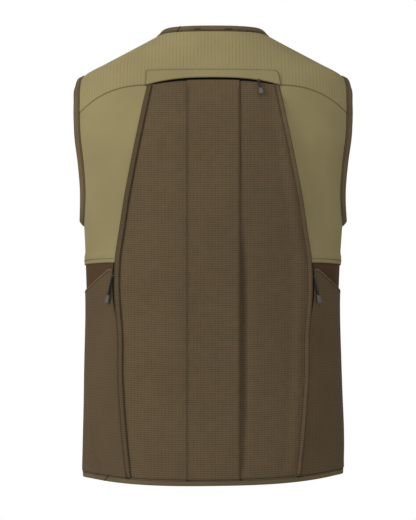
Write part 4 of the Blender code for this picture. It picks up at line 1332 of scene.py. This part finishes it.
def over_band(band, xs, shares):
    """A short line on the back of a band: its xs, each with a share of the band's width."""
    behind = np.flatnonzero(band[0][:, 1] < 0)
    known = band[0][behind, 0]
    root, _, leaving, lift = (
        np.stack([np.interp(xs, known, row[behind, axis]) for axis in range(3)], axis=-1) for row in band
    )
    return root + leaving * np.asarray(shares)[:, None] + lift, unit(lift)


def make_stitches(name, rows, look, slot, pitch=None, half_length=None, half_width=None):
    """Rows of stitches: one thread lozenge at each pitch of each row's points."""
    sizes = bpy.context.scene.vest_sizes
    pitch = pitch or sizes.stitch_pitch
    shape, faces = stitch_shape(half_length or 0.36 * pitch, half_width or sizes.thread_half)
    parts = [copies(shape, faces, *frames_along(points, out, pitch)) for points, out in rows]
    points, rows_of_faces = joined(parts)
    return new_piece(name, points, rows_of_faces, look)


def make_bindings():
    turns = np.concatenate([np.linspace(0, math.pi, 130)[:-1], np.linspace(-math.pi, 0, 130)[:-1]])
    edge = armhole(turns)
    middle = np.array([float(section(np.array(ARM_MIDDLE_Z), HALF_WIDTH)), 0.0, ARM_MIDDLE_Z])
    rows = []
    for side, name in SIDES:
        half = edge * np.array([side, 1.0])
        lean = np.array([side * ARM_FLARE, 0.0, 0.0])
        band = make_band(f"armhole_binding_{name}", half, ARM_WIDTH, middle * [side, 1, 1], lean, closed=True)
        rows.append(seam_row(band))
    at = np.linspace(0, RIDGE + FRONT_STEPS, 90)
    inner, _ = yoke_lines(at)
    neck_line = front_neckline(np.linspace(FRONT_SEAM_AT_NECK, NECK_END, 60))
    edge = both_halves(np.concatenate([inner, neck_line[1:]]))
    points = body(edge[:, 0], edge[:, 1])
    upright = NECK_FLARE * (1 - step((np.abs(edge[:, 0]) - NECK_FLARE_ANGLE) / NECK_FLARE_FADE))
    lean = upright[:, None] * np.array([0.0, 0.0, 1.0])
    neck = make_band("neck_binding", edge, NECK_WIDTH, points + (0, 0, 1), lean)
    rows.append(seam_row(neck))
    front_end = np.linspace(math.pi * 0.955, front_edge(np.array(HEM_Z)), 12)
    half = np.concatenate([np.linspace(0, math.pi * 0.95, 180), front_end])
    edge = both_halves(line(half, HEM_Z))
    points = body(edge[:, 0], edge[:, 1])
    hem = make_band("hem_binding", edge, HEM_WIDTH, points - (0, 0, 1), np.zeros(3))
    rows.append(seam_row(hem))
    make_stitches("binding_stitches", rows, looks()["brown_thread"], "binding")
    tacks = [over_band(neck, np.linspace(*ends, 12), np.full(12, 0.36)) for ends in NECK_TACKS]
    tacks += [over_band(neck, np.linspace(*NECK_JOIN, 12), np.linspace(0.02, 0.98, 12))]
    tacks += [over_band(hem, np.linspace(*HEM_JOIN, 12), np.linspace(0.02, 0.98, 12))]
    tacks += [over_band(hem, np.linspace(*ends, 12), np.full(12, 0.10)) for ends in HEM_TACKS]
    make_stitches("binding_tacks", tacks, looks()["dark_thread"], "binding", *TACK)


# Rows of stitches on the panels: half widths of the threads, and how far the rows lie from their edges
KHAKI_THREAD_HALF, BROWN_THREAD_HALF, STRIP_THREAD_HALF = 0.00058, 0.00050, 0.00065
KHAKI_HEM_INSET = 0.0063
FRONT_INSET = 0.006
STRIP_INSET = 0.0014
PLEAT_INSET = 0.0022
BAG_EDGE_INSET = 0.0012
MOUTH_SHARE = 0.0095


def make_khaki_stitches():
    rows = []
    grid_z = np.full(90, KHAKI_HEM_Z + KHAKI_HEM_INSET)
    start = back_angle(bag_edge_x(grid_z[:1]) + 0.002, grid_z[:1])[0]
    end = front_edge(grid_z[:1])[0] - 0.01
    lifted = 2 * CLOTH + LAYER_GAP
    around = np.linspace(start, end, 90)
    grid_z += hem_slant(around, grid_z)
    for side in (1, -1):
        rows.append(on_cloth(line(side * around, grid_z), np.full(90, lifted)))
    near, low, height = FLAP_STITCH_INSET / 0.2, FLAP_STITCH_INSET / 0.013, FLAP_LIFT + FLAP_THICK - 0.0003
    top = flap_line(np.linspace(near, 1 - near, 80), np.full(80, low))
    part = np.linspace(low, 0.98, 12)
    left, right = flap_line(np.full(12, near), part), flap_line(np.full(12, 1 - near), part)
    rows += [on_cloth(row, np.full(len(row), height)) for row in (top, left, right)]
    z = np.linspace(-0.100, KHAKI_HEM_Z + 0.004, 60)
    for side in (1, -1):
        front = line(front_angle(FRONT_GAP_HALF + FRONT_INSET, z), z) * [side, 1]
        height = CLOTH + (CLOTH + LAYER_GAP) * step((HEM_FOLD_Z - z) / (HEM_FOLD_Z - HEM_LIFTED_Z))
        rows.append(on_cloth(front, height))
    make_stitches("khaki_stitches", rows, looks()["khaki_thread"], "khaki_stretch", half_width=KHAKI_THREAD_HALF)


def make_brown_stitches():
    rows, strips = [], []
    z = np.linspace(YOKE_SEAM_Z - 0.002, HEM_Z + 0.001, 200)
    for side in (1, -1):
        strip = placket_line(z, PLACKET_WIDTH - STRIP_INSET) * [side, 1]
        strips.append(on_cloth(strip, np.full(len(z), BAG_LIFT + PLACKET_THICK + 0.0001)))
        pleat = line(side * back_angle(np.full_like(z, PLEAT_X - PLEAT_INSET), z), z)
        rows.append(on_cloth(pleat, np.full(len(z), BAG_LIFT + CLOTH)))
        low = z[z < LOWER_TOP_Z]
        outer = placket_line(low, BAG_EDGE_INSET) * [side, 1]
        rows.append(on_cloth(outer, np.full(len(low), BAG_LIFT + PLACKET_THICK + 0.8 * PLACKET_RISE)))
        columns = np.linspace(0.015, 0.99, 70)
        mouth = side_grid(pocket_mouth, columns, np.array([MOUTH_SHARE]))[0] * [side, 1]
        points = body(mouth[:, 0], mouth[:, 1])
        rows.append(on_cloth(mouth, POCKET_LIFT + CLOTH + pocket_relief(points[:, 0], points[:, 2], side)))
        down = np.linspace(LOWER_TOP_Z - 0.004, HEM_Z + 0.001, 110)
        front = line(front_angle(FRONT_GAP_HALF + FRONT_INSET, down), down) * [side, 1]
        rows.append(on_cloth(front, np.full(len(down), CLOTH)))
    for name, sewn, thread, half in (
        ("brown_stitches", rows, "brown_thread", BROWN_THREAD_HALF),
        ("bag_strip_stitches", strips, "dark_thread", STRIP_THREAD_HALF),
    ):
        make_stitches(name, sewn, looks()[thread], "brown_ripstop", half_width=half)


# Zips

# One tooth: the place along it, the half width, the half height and the middle's height
TOOTH = np.array(
    (
        (-0.0006, 0.00030, 0.00028, 0.0),
        (-0.0001, 0.00050, 0.00046, 0.0001),
        (0.0013, 0.00046, 0.00042, 0.0001),
        (0.0023, 0.00030, 0.00030, -0.0002),
    )
)
TOOTH_PITCH = 0.0016
FRONT_ZIP_ENDS = (-0.0835, -0.6880)
SIDE_ZIP_ENDS = (-0.3650, -0.4310)
TOP_ZIP_HALF = 0.0945
TOP_ZIP_Z, TOP_ZIP_DROP = -0.0800, 0.0045


def make_tapes():
    for name in ("front_zip", "top_zip", "side_zip_left", "side_zip_right"):
        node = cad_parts[name]
        node.data.materials.clear()
        node.data.materials.append(looks()["zip_tape"])


def make_zip_teeth():
    """Interlocked coils: teeth that reach in turn from the left and the right over the zip's middle line."""
    front_z = np.linspace(*FRONT_ZIP_ENDS, 240)
    side_z = np.linspace(*SIDE_ZIP_ENDS, 40)
    x = np.linspace(-TOP_ZIP_HALF, TOP_ZIP_HALF, 60)
    top_z = TOP_ZIP_Z - TOP_ZIP_DROP * arch(x)
    lines = {
        "front": (line(math.pi, front_z), 0.0008, 1.0),
        "top": (line(np.sign(x) * back_angle(np.abs(x), top_z), top_z), -0.0001, 0.62),
        "side_right": (line(back_angle(bag_edge_x(side_z) + SLIT_WIDTH / 2, side_z), side_z), -0.0002, 0.5),
    }
    lines["side_left"] = (lines["side_right"][0] * MIRROR, -0.0002, 0.5)
    for name, (route, height, size) in lines.items():
        shape, faces = rings_on(TOOTH * size)
        parts = []
        points, out = on_cloth(route, np.full(len(route), height))
        for side in (1, -1):
            middle, along, up, across = frames_along(points, out, TOOTH_PITCH * size)
            if side < 0:
                middle = middle + along * TOOTH_PITCH * size / 2
            parts.append(copies(shape, faces, middle, across * side, up, np.cross(up, across * side)))
        points, faces = joined(parts)
        new_piece(f"{name}_zip_teeth", points, faces, looks()["zip_teeth"])


def pull_frame(name):
    """The hinge of a pull: its point, the way down along the cloth, the way out of the cloth, and the bar."""
    row = PULLS[name]
    z = np.array(row["z"])
    if name == "front":
        angle = math.pi
    elif row["x"] is None:
        x = float(bag_edge_x(z)) + SLIT_WIDTH / 2
        angle = math.copysign(float(back_angle(x, z)), row["lean"])
    else:
        angle = float(back_angle(row["x"], z))
    point, out = body(np.array(angle), z), normals(np.array(angle), z)
    down = unit(np.array([0.0, 0.0, -1.0]) - out * -out[2])
    return point, down, out, np.cross(down, out)


def swept(route, radius, corners=10, closed=False):
    """A round tube along a route: rings square to it, each turned as little as can be from the last."""
    route = np.asarray(route)
    along = unit(np.gradient(route, axis=0))
    side = np.cross(along[0], [0.3, 0.5, 0.81])
    sides = []
    for way in along:
        side = unit(side - way * (side @ way))
        sides.append(side)
    sides = np.array(sides)
    other = np.cross(along, sides)
    turns = np.arange(corners) * 2 * math.pi / corners
    radius = np.broadcast_to(radius, len(route))[:, None, None]
    circles = sides[:, None] * np.cos(turns)[:, None] + other[:, None] * np.sin(turns)[:, None]
    return route[:, None] + radius * circles


def round_block(middle, ways, halves, rings=9, corners=16, power=3.0):
    """A smooth rounded block: rings whose size is the power's root of what the place along leaves of 1, on
    superellipses of that power."""
    places = np.sin(np.linspace(-1, 1, rings) * math.pi / 2) * 0.995
    size = (1 - np.abs(places) ** power) ** (1 / power)
    turns = (np.arange(corners) + 0.5) * 2 * math.pi / corners
    c, s = np.cos(turns), np.sin(turns)
    reach = (np.abs(c) ** power + np.abs(s) ** power) ** (-1 / power)
    spots = middle + ways[0] * (places * halves[0])[:, None, None]
    ring = ways[1] * (c * reach * halves[1])[:, None] + ways[2] * (s * reach * halves[2])[:, None]
    return (spots + size[:, None, None] * ring).reshape(-1, 3), tube_faces(rings, corners)


PLATE_EXTRA = 0.0012
BAIL_HALF = 0.0017
# The grip's outline: the share of its length, its half width in millimetres and the share of its thickness
GRIP = np.array(
    (
        (0.0, 1.5, 0.5), (0.015, 1.9, 0.75), (0.05, 2.3, 0.92), (0.10, 2.6, 1.0), (0.16, 2.8, 1.0),
        (0.19, 2.6, 0.9), (0.22, 2.9, 0.98), (0.30, 3.05, 0.92), (0.40, 3.1, 0.88), (0.50, 3.15, 0.86),
        (0.60, 3.2, 0.86), (0.70, 3.25, 0.88), (0.80, 3.25, 0.92), (0.88, 3.1, 0.90), (0.94, 2.7, 0.80),
        (0.98, 2.1, 0.6), (1.0, 1.2, 0.3),
    )
)
GRIP_POWER = 3.2
CORD_IN_GRIP = 0.0015


def make_slider(name):
    """The slider: a stem in the zip, a rounded plate with a waist, and a wire bail over it for the cord."""
    row = PULLS[name]
    point, down, out, bar = pull_frame(name)
    plate, long, foot = row["plate"], row["long"] + PLATE_EXTRA, row["foot"]
    ways = (down, bar, out)
    face = point + out * (plate - 0.0003)
    stem_middle = point + out * (foot + plate - 0.0006) / 2
    parts = [
        round_block(stem_middle, ways, (long * 0.9, row["stem"], (plate - 0.0002 - foot) / 2)),
        round_block(face - down * long * 0.35, ways, (long * 0.62, 0.0025, 0.0005)),
        round_block(face + down * long * 0.45, ways, (long * 0.6, 0.0020, 0.0005)),
    ]
    turns = np.linspace(0, math.pi, 25)
    height = plate - 0.0002 + (BAR_ABOVE_PLATE + 0.0002) * np.sin(turns) ** 0.45
    reach = BAIL_HALF * np.cos(turns) * np.abs(np.cos(turns)) ** -0.35
    route = point + bar * reach[:, None] + out * height[:, None]
    rings = swept(route, BAR_HALF)
    parts.append((rings.reshape(-1, 3), tube_faces(*rings.shape[:2])))
    points, faces = joined(parts)
    new_piece(f"{name}_slider_body", points, faces, looks()["slider_metal"], (f"{name}_slider",))


def make_pull(name):
    """The cord that loops round the bail, and the moulded grip with its shoulders and grooves."""
    row = PULLS[name]
    point, down, out, bar = pull_frame(name)
    hinge = point + out * (row["plate"] + BAR_ABOVE_PLATE)
    hang = unit(down - bar * math.tan(row["lean"]))
    across = np.cross(hang, out)
    bend = np.radians(np.linspace(90, 270, 19))
    legs = np.linspace(row["cord"] + CORD_IN_GRIP, 0.0, 26)[:-1]
    turned = [(LOOP_RADIUS * math.cos(a), LOOP_RADIUS * math.sin(a)) for a in bend]
    route = [(u, LOOP_RADIUS) for u in legs] + turned + [(u, -LOOP_RADIUS) for u in legs[::-1]]
    path = np.array([hinge + hang * u + out * v for u, v in route])
    radius = bpy.context.scene.vest_sizes.cord_half
    rings = swept(path, radius, 12)
    length = travelled(path, 0)
    round_it = np.abs(np.linspace(-1, 1, 13)[:-1])
    mapped = np.stack(np.broadcast_arrays(length[:, None], round_it[None]), axis=-1)
    cord = new_piece(
        f"{name}_pull_cord_braid", rings, tube_faces(*rings.shape[:2]), looks()["pull_cord"],
        (f"{name}_pull_cord",), uv=mapped, rides=f"{name}_pull",
    )
    shares, halves, thick = GRIP.T
    halves = halves / 1000
    turns = np.arange(28) * 2 * math.pi / 28
    c, s = np.cos(turns), np.sin(turns)
    reach = (np.abs(c) ** GRIP_POWER + np.abs(s) ** GRIP_POWER) ** (-1 / GRIP_POWER)
    middle = hinge + hang * (row["cord"] + 0.0003 + shares * row["grip"])[:, None]
    rings = middle[:, None] + across * (halves[:, None] * c * reach)[..., None]
    rings = rings + out * (GRIP_THICK / 2 * thick[:, None] * s * reach)[..., None]
    grip = new_piece(
        f"{name}_pull_grip_moulding", rings, tube_faces(*rings.shape[:2]), looks()["grip_plastic"],
        (f"{name}_pull_grip",), rides=f"{name}_pull",
    )


# The stage

FLOOR_Z = -1.05


def make_stage():
    settings = bpy.context.scene.vest_stage
    world = bpy.data.worlds.new("pale studio")
    world.use_nodes = True
    tree = world.node_tree
    background = tree.nodes["Background"]
    background.inputs["Color"].default_value = (1.0, 1.0, 1.0, 1.0)
    seen = put(tree, "ShaderNodeLightPath").outputs["Is Camera Ray"]
    strength = maths(tree, "ADD", maths(tree, "MULTIPLY", seen, 1.0 - settings.fill), settings.fill)
    tree.links.new(strength, background.inputs["Strength"])
    bpy.context.scene.world = world

    turns = np.linspace(0, 2 * math.pi, 97)[:-1]
    radii = np.linspace(0.0, 1.2, 9)[1:]
    x, y = np.outer(radii, np.cos(turns)), np.outer(radii, np.sin(turns))
    rings = np.stack([x, y, np.full_like(x, FLOOR_Z)], axis=-1)
    index = np.arange(8 * 96).reshape(8, 96)
    quads = np.stack([index[:-1], np.roll(index[:-1], -1, 1), np.roll(index[1:], -1, 1), index[1:]], axis=-1)
    mesh = bpy.data.meshes.new("floor")
    set_mesh(mesh, rings, [row[::-1] for row in quads.reshape(-1, 4).tolist()] + [index[0].tolist()])
    mesh.materials.append(plain_look("pale floor", (0.82, 0.82, 0.81), 0.7, wear=0.02, grain=40.0))
    floor = bpy.data.objects.new("floor", mesh)
    bpy.context.scene.collection.objects.link(floor)

    target = Vector((0.0, 0.0, -0.35))
    lamps = (
        ("key", (-2.05, -1.4, 0.65), settings.key, 1.2),
        ("front fill", (0.2, -2.8, 0.4), settings.key * 0.18, 1.6),
        ("top", (0.6, -1.2, 1.6), settings.key * 0.26, 1.4),
        ("far side", (-0.6, 2.3, 0.5), settings.key * 0.40, 1.6),
    )
    for name, place, power, size in lamps:
        lamp = bpy.data.lights.new(name, "AREA")
        lamp.energy, lamp.size = power, size
        lamp.shape = "DISK"
        holder = bpy.data.objects.new(name, lamp)
        holder.location = place
        holder.rotation_euler = (target - Vector(place)).to_track_quat("-Z", "Y").to_euler()
        bpy.context.scene.collection.objects.link(holder)

    camera = bpy.data.cameras.new("camera")
    camera.lens, camera.sensor_width = settings.lens, 36.0
    holder = bpy.data.objects.new("camera", camera)
    holder.location = settings.camera_place
    holder.rotation_euler = (math.pi / 2, 0.0, 0.0)
    bpy.context.scene.collection.objects.link(holder)
    bpy.context.scene.camera = holder
    view = bpy.context.scene.view_settings
    view.view_transform, view.look, view.exposure, view.gamma = "Standard", "None", 0.0, 1.0


# Settings, operators and panel


class VestSizes(bpy.types.PropertyGroup):
    mesh_spacing: FloatProperty(
        name="Mesh spacing", description="Distance between the cloth's mesh lines",
        default=0.0028, min=0.001, unit="LENGTH",
    )
    thread_pitch: FloatProperty(
        name="Ripstop pitch", description="Distance between the ripstop's level threads",
        default=0.0033, min=0.001, unit="LENGTH",
    )
    stitch_pitch: FloatProperty(
        name="Stitch pitch", description="Distance from one stitch to the next",
        default=0.0036, min=0.001, unit="LENGTH",
    )
    thread_half: FloatProperty(
        name="Thread half width", description="Half the width of the sewing thread",
        default=0.0004, min=0.0001, unit="LENGTH",
    )
    cord_half: FloatProperty(
        name="Cord half width", description="Half the width of the pull cords",
        default=0.00105, min=0.0003, unit="LENGTH",
    )


class VestColours(bpy.types.PropertyGroup):
    khaki: FloatVectorProperty(
        name="Khaki", description="Yoke and side panels",
        default=(0.279, 0.232, 0.112), subtype="COLOR", min=0, max=1,
    )
    brown: FloatVectorProperty(
        name="Brown", description="Game bag and pockets",
        default=(0.108, 0.075, 0.041), subtype="COLOR", min=0, max=1,
    )
    # Partly the backing's own colour, and darkened further as painted shade inside the pocket mouths
    backing: FloatVectorProperty(
        name="Backing", description="Cloth behind the pocket mouths",
        default=(0.075, 0.044, 0.021), subtype="COLOR", min=0, max=1,
    )
    binding: FloatVectorProperty(
        name="Binding", description="Edge tapes",
        default=(0.134, 0.099, 0.054), subtype="COLOR", min=0, max=1,
    )
    cord: FloatVectorProperty(
        name="Cord", description="Pull cords",
        default=(0.040, 0.037, 0.034), subtype="COLOR", min=0, max=1,
    )
    grip: FloatVectorProperty(
        name="Grip", description="Moulded grips",
        default=(0.088, 0.088, 0.087), subtype="COLOR", min=0, max=1,
    )


class VestStage(bpy.types.PropertyGroup):
    fill: FloatProperty(
        name="Fill light", description="Strength of the light from all round",
        default=0.47, min=0,
    )
    key: FloatProperty(
        name="Key light", description="Power of the large soft light on the left",
        default=34.0, min=0, unit="POWER",
    )
    lens: FloatProperty(
        name="Lens", description="Focal length on a 36 mm sensor",
        default=109.45, min=1, unit="CAMERA",
    )
    camera_place: FloatVectorProperty(
        name="Camera place", description="Where the camera stands, level and facing ahead",
        default=(-0.0079, -2.5, -0.353), subtype="TRANSLATION", unit="LENGTH",
    )


class VEST_OT_yoke(bpy.types.Operator):
    """Make the ribbed yoke and the flap over the top zip"""

    bl_idname = "vest.yoke"
    bl_label = "Yoke"

    def execute(self, context):
        make_yoke()
        make_flap()
        return {"FINISHED"}


class VEST_OT_bag(bpy.types.Operator):
    """Make the bag's three panels and its stitched-down edges"""

    bl_idname = "vest.bag"
    bl_label = "Game bag"

    def execute(self, context):
        make_bag()
        make_plackets()
        return {"FINISHED"}


class VEST_OT_sides(bpy.types.Operator):
    """Make the khaki side and front panels"""

    bl_idname = "vest.sides"
    bl_label = "Side panels"

    def execute(self, context):
        make_upper_sides()
        make_front_uppers()
        return {"FINISHED"}


class VEST_OT_pockets(bpy.types.Operator):
    """Make the lower sides, the pockets and the lower fronts"""

    bl_idname = "vest.pockets"
    bl_label = "Pockets"

    def execute(self, context):
        make_lower_sides()
        make_pipings()
        make_front_lowers()
        return {"FINISHED"}


class VEST_OT_bindings(bpy.types.Operator):
    """Make the tapes round the neck, armholes and hem"""

    bl_idname = "vest.bindings"
    bl_label = "Bindings"

    def execute(self, context):
        make_bindings()
        return {"FINISHED"}


class VEST_OT_stitches(bpy.types.Operator):
    """Sew the rows of stitches"""

    bl_idname = "vest.stitches"
    bl_label = "Stitches"

    def execute(self, context):
        make_khaki_stitches()
        make_brown_stitches()
        return {"FINISHED"}


class VEST_OT_zips(bpy.types.Operator):
    """Dress the zip tapes and make their teeth"""

    bl_idname = "vest.zips"
    bl_label = "Zips"

    def execute(self, context):
        make_tapes()
        make_zip_teeth()
        return {"FINISHED"}


class VEST_OT_pulls(bpy.types.Operator):
    """Make the sliders, cords and grips"""

    bl_idname = "vest.pulls"
    bl_label = "Pulls"

    def execute(self, context):
        for name in PULLS:
            make_slider(name)
            make_pull(name)
        return {"FINISHED"}


class VEST_OT_stage(bpy.types.Operator):
    """Make the floor, the lights and the camera"""

    bl_idname = "vest.stage"
    bl_label = "Stage"

    def execute(self, context):
        make_stage()
        return {"FINISHED"}


OPERATORS = (
    VEST_OT_yoke,
    VEST_OT_bag,
    VEST_OT_sides,
    VEST_OT_pockets,
    VEST_OT_bindings,
    VEST_OT_stitches,
    VEST_OT_zips,
    VEST_OT_pulls,
    VEST_OT_stage,
)


class VEST_PT_panel(bpy.types.Panel):
    """The vest's settings and the buttons that make its pieces"""

    bl_label = "Hunting vest"
    bl_idname = "VEST_PT_panel"
    bl_space_type = "VIEW_3D"
    bl_region_type = "UI"
    bl_category = "Vest"

    def draw(self, context):
        for group in (context.scene.vest_sizes, context.scene.vest_colours, context.scene.vest_stage):
            box = self.layout.box()
            for name in group.bl_rna.properties.keys():
                if name not in ("rna_type", "name"):
                    box.prop(group, name)
        for made in OPERATORS:
            self.layout.operator(made.bl_idname)


CLASSES = (VestSizes, VestColours, VestStage, *OPERATORS, VEST_PT_panel)


def register():
    for each in CLASSES:
        bpy.utils.register_class(each)
    bpy.types.Scene.vest_sizes = PointerProperty(type=VestSizes)
    bpy.types.Scene.vest_colours = PointerProperty(type=VestColours)
    bpy.types.Scene.vest_stage = PointerProperty(type=VestStage)


def unregister():
    del bpy.types.Scene.vest_stage, bpy.types.Scene.vest_colours, bpy.types.Scene.vest_sizes
    for each in reversed(CLASSES):
        bpy.utils.unregister_class(each)


def main():
    register()
    for made in OPERATORS:
        space, name = made.bl_idname.split(".")
        getattr(getattr(bpy.ops, space), name)()


if __name__ == "__main__":
    main()
